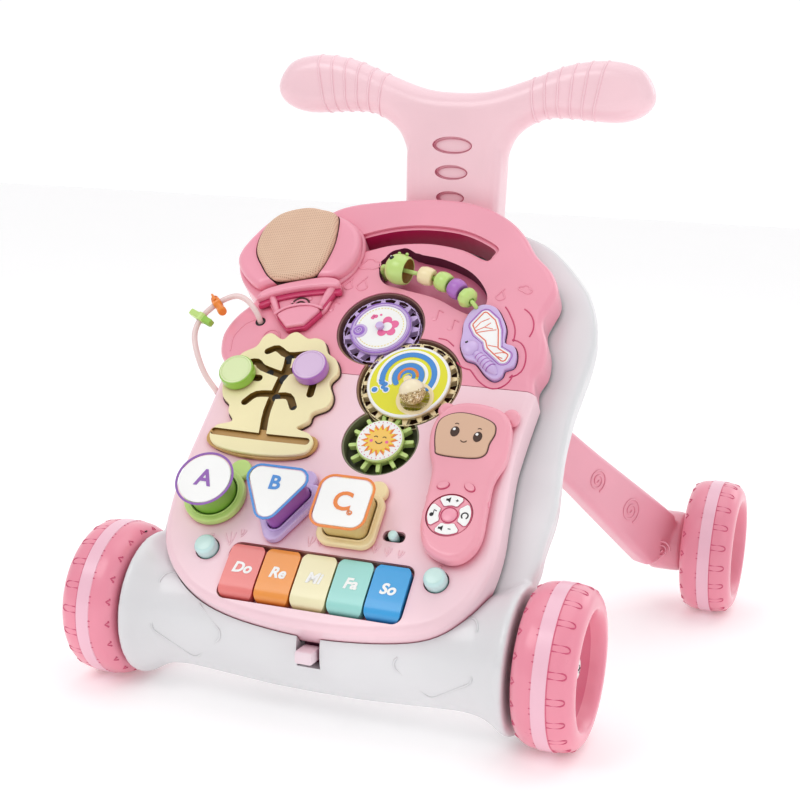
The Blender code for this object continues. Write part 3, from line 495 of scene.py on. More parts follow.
def flat(name, loops, low, high, edge=0.0, steps=3):
    """A flat solid between two heights. Inner loops are holes, and edge rounds its rims."""
    curve = bpy.data.curves.new(name, "CURVE")
    curve.dimensions = "2D"
    curve.fill_mode = "BOTH"
    curve.extrude = (high - low) / 2 - edge
    curve.bevel_depth = edge
    curve.bevel_resolution = steps if edge else 0
    curve.offset = -edge
    for loop in loops:
        line = curve.splines.new("POLY")
        line.points.add(len(loop) - 1)
        for knot, point in zip(line.points, loop):
            knot.co = (point[0], point[1], 0.0, 1.0)
        line.use_cyclic_u = True
    solid = freeze(new_object(name, curve), 0.002)
    solid.data.transform(Matrix.Translation((0.0, 0.0, (low + high) / 2)))
    return solid


def turned(name, profile, sides=64, closed=False):
    """A turned solid about z from its (radius, height) profile."""
    shape = bmesh.new()
    verts = [shape.verts.new((r, 0.0, z)) for r, z in profile]
    edges = [shape.edges.new(pair) for pair in zip(verts, verts[1:])]
    if closed:
        edges.append(shape.edges.new((verts[-1], verts[0])))
    bmesh.ops.spin(shape, geom=verts + edges, axis=(0, 0, 1), cent=(0, 0, 0), angle=2 * math.pi,
                   steps=sides, use_duplicate=False)
    bmesh.ops.remove_doubles(shape, verts=shape.verts, dist=0.001)
    bmesh.ops.recalc_face_normals(shape, faces=shape.faces)
    mesh = bpy.data.meshes.new(name)
    shape.to_mesh(mesh)
    shape.free()
    return new_object(name, mesh)


def tube(name, path, radius, closed=False, sides=3):
    """A round tube along a path; radius is one number or one for each point."""
    curve = bpy.data.curves.new(name, "CURVE")
    curve.dimensions = "3D"
    curve.bevel_depth = 1.0
    curve.bevel_resolution = sides
    curve.use_fill_caps = True
    line = curve.splines.new("POLY")
    line.points.add(len(path) - 1)
    line.use_cyclic_u = closed
    radii = radius if isinstance(radius, (list, tuple)) else [radius] * len(path)
    for knot, point, size in zip(line.points, path, radii):
        knot.co = (*point, 1.0)
        knot.radius = size
    return freeze(new_object(name, curve))


def block(name, low, high, edge=0.0, segments=3):
    """A box between two corners with rounded edges."""
    shape = bmesh.new()
    bmesh.ops.create_cube(shape, size=1.0)
    bmesh.ops.scale(shape, vec=[b - a for a, b in zip(low, high)], verts=shape.verts)
    bmesh.ops.translate(shape, vec=[(a + b) / 2 for a, b in zip(low, high)], verts=shape.verts)
    if edge:
        bmesh.ops.bevel(shape, geom=list(shape.edges), offset=edge, segments=segments, profile=0.5,
                        affect="EDGES")
    mesh = bpy.data.meshes.new(name)
    shape.to_mesh(mesh)
    shape.free()
    return new_object(name, mesh)


def ball(name, centre, radii, turn=None, rings=20):
    """A smooth ellipsoid."""
    shape = bmesh.new()
    bmesh.ops.create_uvsphere(shape, u_segments=rings * 2, v_segments=rings, radius=1.0)
    mesh = bpy.data.meshes.new(name)
    shape.to_mesh(mesh)
    shape.free()
    scale = Matrix.Diagonal((*radii, 1.0))
    mesh.transform(Matrix.Translation(centre) @ (turn or Matrix.Identity(4)) @ scale)
    return new_object(name, mesh)


def moved(obj, x=0.0, y=0.0, z=0.0, turn=None, about="Z"):
    """The same object with its mesh turned (degrees) and shifted."""
    if turn:
        obj.data.transform(Matrix.Rotation(math.radians(turn), 4, about))
    obj.data.transform(Matrix.Translation((x, y, z)))
    return obj


def boolean(target, tools, operation="DIFFERENCE"):
    """Apply exact Booleans to target, one for each tool, and remove the tools."""
    for tool in tools:
        step = target.modifiers.new("Boolean", "BOOLEAN")
        step.operation = operation
        step.solver = "EXACT"
        step.material_mode = "TRANSFER"
        step.object = tool
    result = freeze(target)
    for tool in tools:
        bpy.data.objects.remove(tool, do_unlink=True)
    return result


def softened(obj, width, segments=2, limit=40):
    """Round every sharp edge a little."""
    bevel = obj.modifiers.new("Bevel", "BEVEL")
    bevel.width = width
    bevel.segments = segments
    bevel.limit_method = "ANGLE"
    bevel.angle_limit = math.radians(limit)
    bevel.use_clamp_overlap = True
    return freeze(obj)


def melted(obj, voxel, rounds=6):
    """Fuse overlapping solids into one skin with soft inner corners."""
    fuse = obj.modifiers.new("Fuse", "REMESH")
    fuse.mode = "VOXEL"
    fuse.voxel_size = voxel
    soften = obj.modifiers.new("Soften", "SMOOTH")
    soften.factor = 0.5
    soften.iterations = rounds
    return freeze(obj)


def dyed(obj, name):
    """Give a solid one finish."""
    obj.data.materials.clear()
    obj.data.materials.append(paint(name) if isinstance(name, str) else name)
    return obj


def joined(name, parts):
    """One object from several, with their finishes."""
    shape = bmesh.new()
    finishes = []
    for obj in parts:
        start = len(shape.faces)
        shape.from_mesh(obj.data)
        shape.faces.ensure_lookup_table()
        places = []
        for material in obj.data.materials:
            if material not in finishes:
                finishes.append(material)
            places.append(finishes.index(material))
        for face in shape.faces[start:]:
            face.material_index = places[face.material_index] if places else 0
        bpy.data.objects.remove(obj, do_unlink=True)
    mesh = bpy.data.meshes.new(name)
    shape.to_mesh(mesh)
    shape.free()
    for material in finishes:
        mesh.materials.append(material)
    return new_object(name, mesh)


def even_normals(obj):
    """Let the big faces set the shading, so flat areas stay flat up to their rounded rims."""
    step = obj.modifiers.new("Even normals", "WEIGHTED_NORMAL")
    step.keep_sharp = True
    graph = bpy.context.evaluated_depsgraph_get()
    graph.update()
    mesh = bpy.data.meshes.new_from_object(obj.evaluated_get(graph))
    obj.modifiers.remove(step)
    obj.data = mesh


def piece(name, body, parts, nodes=(), slot=None, place=PANEL, angle=38):
    """Join the parts, put them in the frame, and let them ride on a body for these nodes."""
    obj = joined(name, parts)
    obj.data.transform(place)
    obj.data.shade_smooth()
    obj.data.set_sharp_from_angle(angle=math.radians(angle))
    even_normals(obj)
    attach(obj, body)
    if nodes:
        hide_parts(*nodes)
    return obj


def emboss(path, height, radius=0.55, closed=False, colour="rose_shell"):
    """A raised line on the panel's face, half sunk in it."""
    radius *= chosen_width("relief_width") / 1.1
    return dyed(tube("line", [(x, y, height) for x, y in path], radius, closed, 2), colour)


def label(name, text, size, height, low, high, colour, x, y, slant=0.0, weight=0.0):
    """Raised lettering, centred on x, y."""
    curve = bpy.data.curves.new(name, "FONT")
    curve.body = text
    curve.size = size
    curve.align_x = "CENTER"
    curve.align_y = "CENTER"
    curve.shear = slant
    curve.offset = weight
    curve.extrude = (high - low) / 2
    curve.resolution_u = 4
    text_mesh = freeze(new_object(name, curve), 0.0001)
    text_mesh.data.transform(Matrix.Diagonal((1.0, height, 1.0, 1.0)))
    return dyed(moved(text_mesh, x, y, (low + high) / 2), colour)


# ---------------------------------------------------------------- geometry node tools
def node_tool(name, inputs):
    """A new geometry tree with named inputs, and the values of those inputs."""
    tree = bpy.data.node_groups.new(name, "GeometryNodeTree")
    tree.is_modifier = True
    kinds = {"Geometry": "NodeSocketGeometry", "Material": "NodeSocketMaterial", "Count": "NodeSocketInt"}
    sockets = {}
    for label_text in ("Geometry", "Material", *inputs):
        kind = kinds.get(label_text, "NodeSocketVector" if label_text.endswith("Step") else "NodeSocketFloat")
        sockets[label_text] = tree.interface.new_socket(label_text, in_out="INPUT",
                                                        socket_type=kind).identifier
    tree.interface.new_socket("Geometry", in_out="OUTPUT", socket_type="NodeSocketGeometry")
    start = tree.nodes.new("NodeGroupInput")
    values = {text: Value(tree, start.outputs[text]) for text in sockets}
    return tree, sockets, values


def close_tool(tree, geometry, material):
    """End a tree in real geometry with its material."""
    real = Value.of(tree, "GeometryNodeRealizeInstances", {}, {"Geometry": geometry})
    set_material = Value.of(tree, "GeometryNodeSetMaterial", {}, {"Geometry": real, "Material": material})
    end = tree.nodes.new("NodeGroupOutput")
    tree.links.new(set_material.socket, end.inputs[0])


def ring_tool():
    """Copies of the input set evenly around z, each turned to face outwards."""
    tree, sockets, given = node_tool("Ring of copies", ("Count", "Radius", "Start"))
    points = Value.of(tree, "GeometryNodeMeshCircle", {},
                      {"Vertices": given["Count"], "Radius": given["Radius"]})
    index = Value.of(tree, "GeometryNodeInputIndex")
    angle = index * (2 * math.pi) / given["Count"]
    facing = Value.of(tree, "ShaderNodeCombineXYZ", {}, {"Z": angle})
    copies = Value.of(tree, "GeometryNodeInstanceOnPoints", {},
                      {"Points": points, "Instance": given["Geometry"], "Rotation": facing})
    turn = Value.of(tree, "ShaderNodeCombineXYZ", {}, {"Z": given["Start"]})
    placed = Value.of(tree, "GeometryNodeTransform", {}, {"Geometry": copies, "Rotation": turn})
    close_tool(tree, placed, given["Material"])
    return tree, sockets


def swirl_tool():
    """A raised spiral line that lies flat."""
    tree, sockets, given = node_tool("Swirl", ("Turns", "Inner", "Outer", "Thickness"))
    spiral = Value.of(tree, "GeometryNodeCurveSpiral", {},
                      {"Resolution": 32, "Rotations": given["Turns"], "Start Radius": given["Inner"],
                       "End Radius": given["Outer"], "Height": 0.0})
    section = Value.of(tree, "GeometryNodeCurvePrimitiveCircle", {},
                       {"Resolution": 8, "Radius": given["Thickness"]})
    line = Value.of(tree, "GeometryNodeCurveToMesh", {},
                    {"Curve": spiral, "Profile Curve": section, "Fill Caps": True})
    close_tool(tree, line, given["Material"])
    return tree, sockets


TOOLS = {}


def with_tool(kind, obj, colour, **given):
    """Run a geometry node tool on an object and return the plain result."""
    if kind not in TOOLS:
        TOOLS[kind] = {"ring": ring_tool, "swirl": swirl_tool}[kind]()
    tree, sockets = TOOLS[kind]
    step = obj.modifiers.new("Tool", "NODES")
    step.node_group = tree
    step[sockets["Material"]] = paint(colour)
    for text, value in given.items():
        step[sockets[text.replace("_", " ")]] = value
    return freeze(obj)


def empty_mesh(name="seed"):
    return new_object(name, bpy.data.meshes.new(name))


def swirl(turns, inner, outer, thickness, colour, x=0.0, y=0.0, z=0.0, turn=0.0, flip=False):
    """A spiral line on the face, from the node tool."""
    made = with_tool("swirl", empty_mesh(), colour, Turns=turns, Inner=inner, Outer=outer,
                     Thickness=thickness)
    if flip:
        made.data.transform(Matrix.Rotation(math.pi, 4, "X"))
    return moved(made, x, y, z, turn)


# ---------------------------------------------------------------- outlines of the big mouldings
PANEL_LOWER = [(-135, 210.7), (-134, 180), (-136, 115), (-134, 80), (-127, 50), (-110, 27), (-85, 11),
               (-50, 2),
               (0, -2), (50, 1), (90, 10), (112, 28), (122, 50), (125, 80), (122, 115), (119, 150),
               (120, 180),
               (122, 210.7)]
PANEL_UPPER = [(121, 211.5), (118, 226), (122, 240), (120, 258), (112, 280), (117, 306), (109, 326),
               (92, 343),
               (79, 361), (62, 377), (38, 389), (0, 395), (-62, 387), (-94, 374), (-112, 345), (-124, 310),
               (-131, 278), (-143, 258), (-148, 240), (-144, 222), (-135.5, 211.5)]
SEAM = 211.0
CARRY_SLOT = [(-58, 346), (-30, 357), (0, 360.5), (30, 357), (56, 345), (57, 338), (52, 333), (30, 342),
              (0, 346), (-30, 342), (-52, 334), (-59, 338)]
GRUB_WELL = [(-33, 314), (-31, 327), (-20, 337), (-4, 333), (20, 329), (45, 318), (61, 301),
                    (64, 287), (57, 277), (44, 280), (22, 290), (-6, 296), (-25, 301)]
DRAGONFLY_RIM = [(55, 245), (53.5, 257), (52, 268), (55, 279), (63, 286), (74, 284), (82, 274), (87, 264),
                 (89, 252),
                 (97, 249), (101, 241), (101, 231), (95, 227), (94, 221), (89, 217), (81, 221), (71, 231),
                 (62, 234)]
GEAR_WELLS = {"gear_flower": 36.0, "gear_spiral": 41.5, "gear_sun": 30.0}
KEY_BAY = (1.0, 33.0, 142.5, 46.0)
BUTTONS = ((-89.0, 47.0), (89.0, 47.0))
SWITCH_SLOT = (49.0, 77.0, 17.0, 9.0)
BODY_HALF = [(0, 389), (50, 387), (74, 381), (96, 369), (120, 345), (136, 323), (146, 295), (148, 265),
             (144, 216), (145, 177), (150, 135), (148, 100), (148, 84), (140, 50), (120, 20), (80, 4),
             (0, 0)]
AXLE_HOUSING = [(148, 3), (148, 52), (147, 54), (144, 54.5), (140, 52.5), (134, 48.5), (128, 45.6),
                (122, 43.7),
                (113, 42.7), (104, 42.5), (87, 43.4), (70, 44.5), (35, 46.5), (0, 47)]
HANDLE_HALF = [(0, 452.5), (30, 455), (65, 466.5), (95, 477.5), (125, 481.2), (150, 476.5), (162, 464),
               (165, 450), (156, 438), (135, 432), (100, 434), (75, 433), (55, 422), (46, 408), (42.5, 390),
               (41.2, 366), (40.5, 346.5), (40.5, 326), (0, 326)]
GRIP_RIBS = [(66.0, 6.0), (77.0, 3.0), (88.0, 0.0), (99.0, -3.5), (110.0, -7.0), (121.0, -11.0)]
STEM_OVALS = [(409.0, 17.5, 7.2), (386.5, 14.5, 6.2), (365.5, 12.5, 5.4)]


def wells_tool(low, high, grow=0.0):
    """The three round wells as one solid."""
    discs = []
    for name, radius in GEAR_WELLS.items():
        centre = on_panel(name)
        discs.append(flat("well", [circle(centre.x, centre.y, radius + grow, 72)], low, high))
    return boolean(discs[0], discs[1:], "UNION")


def two_tone(tool, side, end):
    """A cutter whose sides leave one finish and whose end leaves another."""
    tool = dyed(tool, side)
    tool.data.materials.append(paint(end))
    for face in tool.data.polygons:
        if abs(face.normal.z) > 0.5:
            face.material_index = 1
    return tool


def grub_well_rim():
    """Outline of the grub's well, scalloped round the head."""
    rim = spline(GRUB_WELL, 6)
    loop = []
    for i, (x, y) in enumerate(rim):
        if x < -2 and y > 312:
            bulge = 1.0 + 0.06 * abs(math.sin(0.55 * i))
            x, y = -13.5 + (x + 13.5) * bulge, 313 + (y - 313) * bulge
        loop.append((x, y))
    return loop


def make_panel_shells():
    """Rose upper shell and blush lower shell with their wells, bays, slots and soft rims."""
    rim = [*spline(PANEL_LOWER, 5, False), *spline(PANEL_UPPER, 5, False)]
    depth = 25.0
    for name, colour in (("panel_lower", "blush_shell"), ("panel_upper", "rose_shell")):
        shell_solid = flat(name, [rim], -depth - 8.0, 0.0, 6.5, 5)
        below = name == "panel_lower"
        cuts = [block("trim", (-200, SEAM - 0.25, -60), (200, 500, 20)) if below
                else block("trim", (-200, -60, -60), (200, SEAM + 0.25, 20)),
                block("floor_trim", (-200, -60, -60), (200, 500, -depth)),
                wells_tool(-12.0, 10)]
        if below:
            x, y, wide, high = KEY_BAY
            cuts += [flat("bay", [rounded_box(x, y, wide, high, 7.0)], -9.0, 10.0)]
            cuts += [flat("button", [circle(bx, by, 9.3)], -9.0, 10.0) for bx, by in BUTTONS]
            cuts += [flat("switch", [rounded_box(*SWITCH_SLOT, 4.0)], -6.0, 10.0)]
        else:
            # the carry slot's cutter leaves a painted crimson shade on its walls
            cuts += [dyed(flat("slot", [spline(CARRY_SLOT)], -40, 10.0), "slot_crimson"),
                     flat("slot_step", [grown(spline(CARRY_SLOT), 3.0)], -2.4, 10.0),
                     # the grub well's cutter leaves a painted maroon shade on its walls and a rose floor
                     two_tone(flat("grub", [grub_well_rim()], -11.5, 10.0), "well_maroon", "well_rose"),
                     # the dragonfly recess's cutter leaves the same painted crimson shade on its walls
                     dyed(flat("dragonfly", [grown(spline(DRAGONFLY_RIM), 0.9)], -4.5, 10.0),
                          "slot_crimson"),
                     turned("wire_hole", [(0, 8), (4.4, 8), (4.4, -8), (0, -8)], 32)]
            cuts[-1].data.transform(Matrix.Translation((-118, 253, 0)))
        shell_solid = boolean(dyed(shell_solid, colour), cuts)
        yield name, softened(shell_solid, 0.8, 3)


def cloud(x, y, size, turn=0.0):
    """Outline of a small puffy cloud."""
    puffs = [(-9, -3), (-10.5, 1), (-6, 4), (-3, 7.5), (3, 7), (5, 4.5), (9.5, 3.5), (10, -2), (5, -4.5),
             (-2, -3.6)]
    c, s = math.cos(math.radians(turn)), math.sin(math.radians(turn))
    return spline([(x + size * (px * c - py * s), y + size * (px * s + py * c)) for px, py in puffs], 4)


def twig(x, y, size, lean):
    """Three raised blades of grass."""
    blades = []
    for bend in (-0.35, 0.05, 0.4):
        angle = math.radians(90 + lean) - bend
        tip = (x + size * math.cos(angle), y + size * math.sin(angle))
        blades.append([(x, y), ((x + tip[0]) / 2 + bend * 1.5, (y + tip[1]) / 2), tip])
    return blades


def make_rose_relief():
    """Raised and engraved lines on the rose shell: clouds, fruit, notes, a snail and wing echoes; the
    engraved lines are raised lines in a painted crimson shade.
    """
    lines = []
    for x, y, size, turn in ((-42.0, 318.0, 0.85, 10), (92.0, 305.0, 0.55, -20)):
        lines.append(emboss(cloud(x, y, size, turn)[:-1], 0.05, 0.55, True))
    for x, y, size in ((-54.0, 296.0, 1.0), (-42.5, 297.0, 1.25), (74.0, 297.0, 1.0)):
        pear = spline([(x, y + 5 * size), (x + 2 * size, y + 2 * size), (x + 3.6 * size, y - 1.5 * size),
                       (x, y - 4 * size), (x - 3.6 * size, y - 1.5 * size), (x - 2 * size, y + 2 * size)],
                      4)
        lines.append(emboss(pear, 0.05, 0.5, True))
        lines.append(emboss([(x, y + 5 * size), (x + 1.5 * size, y + 7.5 * size)], 0.05, 0.5))
    for x, y in ((28.0, 270.0), (43.0, 262.0), (-60.0, 270.0)):
        lines.append(emboss([(x, y), (x, y + 9), (x + 4, y + 7)], 0.05, 0.5))
        lines.append(dyed(ball("note", (x - 1.6, y, 0.0), (2.1, 1.6, 0.6)), "rose_shell"))
    echo = [p for p in grown(spline(DRAGONFLY_RIM, 5), 6.5) if p[0] > 78 or p[1] < 232]
    turn = max(range(len(echo)), key=lambda i: math.dist(echo[i], echo[i - 1]))
    # painted shade: these lines stand in for engraved grooves in a dark crimson
    lines.append(emboss(echo[turn:] + echo[:turn], 0.0, 0.55, colour="crimson"))
    lines.append(emboss(arc(86, 268, 21, -20, 62, 20), 0.0, 0.55, colour="crimson"))
    lines.append(emboss(spline([(35, 252), (42, 251), (49, 246)], 4, False), 0.0, 0.5, colour="crimson"))
    lines.append(swirl(2.2, 1.5, 8.5, 0.6, "rose_shell", -104.0, 238.5, 0.1, 30))
    lines.append(emboss(spline([(-97, 231), (-92, 228), (-90, 232), (-94, 236)], 4, False), 0.05, 0.55))
    lines.append(emboss(spline([(-134, 222), (-136, 236), (-131, 248), (-124, 254)], 5, False), 0.0, 0.5))
    return lines


def make_blush_relief():
    """Twigs, grass and dots raised on the blush shell."""
    lines = []
    for x, y, size, lean in ((-73.0, 52.0, 11.0, 14), (-71.0, 44.0, 8.0, -30), (-12.0, 60.0, 8.0, 0),
                             (-4.0, 61.0, 7.0, 10), (38.0, 62.0, 8.0, 0), (48.0, 61.0, 7.0, 6),
                             (57.0, 61.0, 6.0, -8), (-66.0, 60.0, 6.0, 0)):
        for blade in twig(x, y, size, lean):
            lines.append(emboss(blade, 0.05, 0.42, colour="blush_shell"))
    for x, y in ((-89.0, 58.5), (89.0, 58.5)):
        lines.append(dyed(ball("dot", (x, y, 0.0), (1.3, 1.3, 0.7), rings=8), "blush_shell"))
    return lines


def drape(path, surface, way):
    """Drop 2D points along a direction onto a surface; way turns a point into a start and a direction."""
    landed = []
    for point in path:
        start, heading = way(point)
        hit = surface.ray_cast(start, heading)[0]
        if hit is None:
            raise RuntimeError("a line on the body misses it")
        landed.append(tuple(hit))
    return landed


def make_body():
    """White body: tilted back with a soft crease, flared axle housing, socket, inset lines and latch slot."""
    back_rim = mirrored(BODY_HALF)
    front = flat("front", [spline(grown(back_rim, -1.5), 4)], -40.0, -28.5, 5.0, 4)
    rear = flat("rear", [spline(back_rim, 4)], -55.0, -37.0, 8.5, 5)
    for solid in (front, rear):
        solid.data.transform(WORLD.inverted() @ PANEL)
    half = [(r, x) for x, r in AXLE_HOUSING]
    profile = [(0.0, 148.0), *half[1:-1], (47.0, 0.0), *[(r, -x) for r, x in half[-2:0:-1]], (0.0, -148.0)]
    housing = turned("housing", profile, 128)
    housing.data.transform(Matrix.Rotation(math.pi / 2, 4, "Y"))
    axle = middle("front_axle") / MM
    housing.data.transform(Matrix.Translation(axle))
    handle_y = middle("handle").y / MM
    socket = block("socket", (-50, handle_y - 15.5, 272), (50, handle_y + 17.5, 345.5), 7.0, 5)
    body = melted(boolean(rear, [front, housing, socket], "UNION"), 2.1, 5)
    room = flat("room", [grown([*spline(PANEL_LOWER, 5, False), (122, 240), (-135, 240)], 0.8)], -28.5,
                60.0)
    room.data.transform(WORLD.inverted() @ PANEL)
    slot_cut = block("latch_slot", (-6.0, -245, 44.5), (12.0, -211, 70))
    mouth = block("mouth", (-31.5, handle_y - 9, 285), (31.5, handle_y + 9, 370), 1.0)
    lock = turned("lock", [(0, 30), (6.5, 30), (6.5, 5), (0, 5)], 40)
    lock.data.transform(Matrix.Translation((0, handle_y, 318)) @ Matrix.Rotation(-math.pi / 2, 4, "X"))
    body = dyed(boolean(body, [room, slot_cut, mouth, lock]), "body_white")
    surface = BVHTree.FromObject(body, bpy.context.evaluated_depsgraph_get())
    parts = [body]
    for side in (-1, 1):
        window = corner_loop([(side * 64, 58), (side * 92, 33), (side * 124, 53), (side * 123, 93),
                              (side * 113, 93), (side * 86, 76)], 6.0)
        rim = drape(window, surface, lambda p: (Vector((p[0], -400, p[1])), Vector((0, 1, 0))))
        parts.append(dyed(tube("inset", rim, 0.75, True, 2), "body_white"))
    return piece("body_moulding", "body", parts, ("body_shell",), "white", WORLD, 60)


def section_loop(obj, centre, normal, spacing=1.5):
    """Points around the cut of a solid by a plane, in order."""
    shape = bmesh.new()
    shape.from_mesh(obj.data)
    cut = bmesh.ops.bisect_plane(shape, geom=[*shape.verts, *shape.edges, *shape.faces], plane_co=centre,
                                 plane_no=normal)["geom_cut"]
    edges = {item for item in cut if isinstance(item, bmesh.types.BMEdge)}
    vert = next(iter(edges)).verts[0]
    loop = [vert.co.copy()]
    while edges:
        edge = next((e for e in vert.link_edges if e in edges), None)
        if edge is None:
            break
        edges.remove(edge)
        vert = edge.other_vert(vert)
        if (vert.co - loop[-1]).length > spacing:
            loop.append(vert.co.copy())
    shape.free()
    if (loop[-1] - loop[0]).length < spacing:
        loop.pop()
    return loop


def make_handle():
    """Push handle: soft T of round grips with six ribs each, and a stem with three sunk ovals."""
    half_thick = 16.0
    grip = flat("grip", [spline(mirrored(HANDLE_HALF[:-1]), 4)], -half_thick, half_thick, 15.0, 7)
    stem = flat("stem", [[(-40.3, 326), (40.3, 326), (41.8, 385), (42.0, 402), (36, 430), (-36, 430),
                          (-42.0, 402),
                          (-41.8, 385)]], -15.4, 15.4, 6.0, 5)
    handle = melted(boolean(grip, [stem], "UNION"), 1.35, 7)
    trim = block("trim", (-60, 330, -30), (60, 346.8, 30))
    ovals = []
    for height, wide, high in STEM_OVALS:
        outer = ellipse(0, height, wide, high, 56)
        # the oval cutters leave a painted shade on the ovals' walls and the handle's pink on their floors
        ovals.append(two_tone(flat("oval", [outer], half_thick - 4.2, half_thick + 4), "oval_rose",
                              "handle_pink"))
    pads = [flat("pad", [ellipse(0, height - 0.3, wide - 1.6, high - 1.4, 56)], half_thick - 5.0,
                 half_thick - 3.5, 0.7)
            for height, wide, high in STEM_OVALS]
    handle = boolean(dyed(handle, "handle_pink"), [trim, *ovals])
    handle = softened(handle, 0.6, 2, 60)
    ribs = []
    for x, lean in GRIP_RIBS:
        for side in (-1, 1):
            angle = math.radians(lean)
            loop = section_loop(handle, (side * x, 455, 0), (side * math.cos(angle), math.sin(angle), 0))
            heart = sum(loop, Vector()) / len(loop)
            ribs.append(dyed(tube("rib", [tuple(heart + (p - heart) * 0.985) for p in loop],
                                  chosen_width("rib_width") / 2, True, 2),
                             "handle_pink"))
    tongue = block("tongue", (-30, 290, -8), (30, 352, 8), 0.6)
    groove = block("groove", (-6.3, 280, -9), (6.3, 324.5, 5))
    tongue = boolean(tongue, [groove])
    parts = [handle, *[dyed(pad, "handle_pink") for pad in pads],
             dyed(tongue, "handle_pink"), *ribs]
    handle_y = middle("handle").y
    upright = Matrix.Translation((0, handle_y, 0)) @ Matrix.Rotation(math.pi / 2, 4, "X") @ WORLD
    return piece("handle_moulding", "handle", parts, ("handle",), "pale_pink", upright, 60)


def tread_line(outer, inner, radius, gap):
    """A U-shaped groove line that lies on the tread, from the band to the shoulder."""
    half = gap / 2
    across = [(inner, -half), (outer - half, -half), (outer, 0.0), (outer - half, half), (inner, half)]
    path = []
    for x, y in across:
        drop = max(0.0, abs(x) - 9.0) ** 2 * 0.043
        path.append((radius - drop, y, x))
    return tube("groove", spline(path, 3, False), 0.5, False, 2)


def make_wheel(corner):
    """One wheel: round-shouldered tread with a raised band and grooves, deep dish, hub and screws."""
    node = "wheel_" + corner
    centre = middle(node)
    side = math.copysign(1.0, centre.x)
    shoulder = [(43.0, 21.7), (45.2, 22.35), (48.2, 22.2), (52.0, 20.9), (55.2, 18.0), (57.3, 14.0),
                (58.2, 9.5),
                (58.4, 5.4)]
    dish = [(12.0, 4.2), (14.0, 3.8), (30.0, 3.8), (33.5, 4.6), (36.0, 7.0), (38.5, 12.0), (40.8, 18.5)]
    dish_in = [(r, -z + 1.0) for r, z in dish]
    tread = [*spline(dish + shoulder, 3, False), (59.0, 5.0), (59.0, 0.0), (59.0, -5.0),
             *[(r, -z) for r, z in reversed(spline(shoulder, 3, False))], *reversed(dish_in)]
    profile = [(4.3, 8.6), (10.6, 8.8), (11.8, 8.0), *tread, (11.8, -18.5), (10.6, -19.8), (4.3, -20.0)]
    solid = turned(node, profile, 120, True)
    solid = dyed(solid, "wheel_pink")
    for name in ("band_pink", "hub_pink"):
        solid.data.materials.append(paint(name))
    for face in solid.data.polygons:
        spot = face.center
        reach = math.hypot(spot.x, spot.y)
        if reach > 58.3 and abs(spot.z) < 5.3:
            face.material_index = 1
        elif reach < 38.5:
            face.material_index = 2
    parts = [solid]
    for way in (-1, 1):
        # painted shade: the groove lines are darker than the tread
        line = with_tool("ring", tread_line(way * 17.5, way * 5.0, 58.4, 4.4), "groove_rose", Count=20,
                         Radius=0.0, Start=0.08 * way)
        parts.append(line)
    edge = turned("edge", [(58.2, 5.9), (58.75, 5.7), (58.9, 5.1), (58.2, 5.1)], 120, True)
    parts.append(dyed(edge, "hub_pink"))
    screw = turned("screw", [(0, 1.0), (2.0, 1.0), (2.5, 0.6), (2.5, -0.8), (0, -0.8)], 20)
    parts.append(with_tool("ring", moved(screw, 18.5, 0, 4.6), "screw_grey", Count=3, Radius=0.0,
                           Start=0.4))
    boss = turned("boss", [(4.2, 2.4), (4.8, 2.8), (5.2, 0.0), (3.0, 0.0), (3.0, 2.0)], 24, True)
    parts.append(with_tool("ring", moved(boss, 18.5, 0, 3.6), "hub_pink", Count=3, Radius=0.0, Start=0.4))
    spoke = block("spoke", (13.0, -1.0, 3.0), (36.0, 1.0, 5.6), 0.6)
    parts.append(with_tool("ring", spoke, "hub_pink", Count=6, Radius=0.0, Start=0.4 + math.pi / 3))
    # painted shade: a small black disc for the dark inside of a hole
    hole = turned("hole", [(0, 0.4), (1.6, 0.4), (1.6, -0.4), (0, -0.4)], 20)
    hole.data.transform(Matrix.Rotation(math.radians(76), 4, "Y"))
    parts.append(dyed(moved(hole, 53.6, 0, -19.4), "ink_black"))
    place = Matrix.Translation(centre) @ Matrix.Rotation(side * math.pi / 2, 4, "Y") @ WORLD
    piece(node + "_look", node, parts, (node,), "pink", place, 30)
    cap = turned("cap", [(0, 13.4), (4.0, 13.3), (6.8, 12.7), (8.6, 11.6), (10.4, 10.8), (10.8, 9.4),
                         (0, 9.4)], 48)
    # painted shade: black bars for the shade in the cap's cross
    cross = [block("cross", (-3.0, -0.5, 12.9), (3.0, 0.5, 13.6)),
             block("cross", (-0.5, -3.0, 12.9), (0.5, 3.0, 13.6))]
    slots = [dyed(part, "ink_black") for part in cross]
    return piece("hub_%s_look" % corner, node, [dyed(cap, "label_white"), *slots], ("hub_cap_" + corner,),
                 "grey",
                 place, 35)


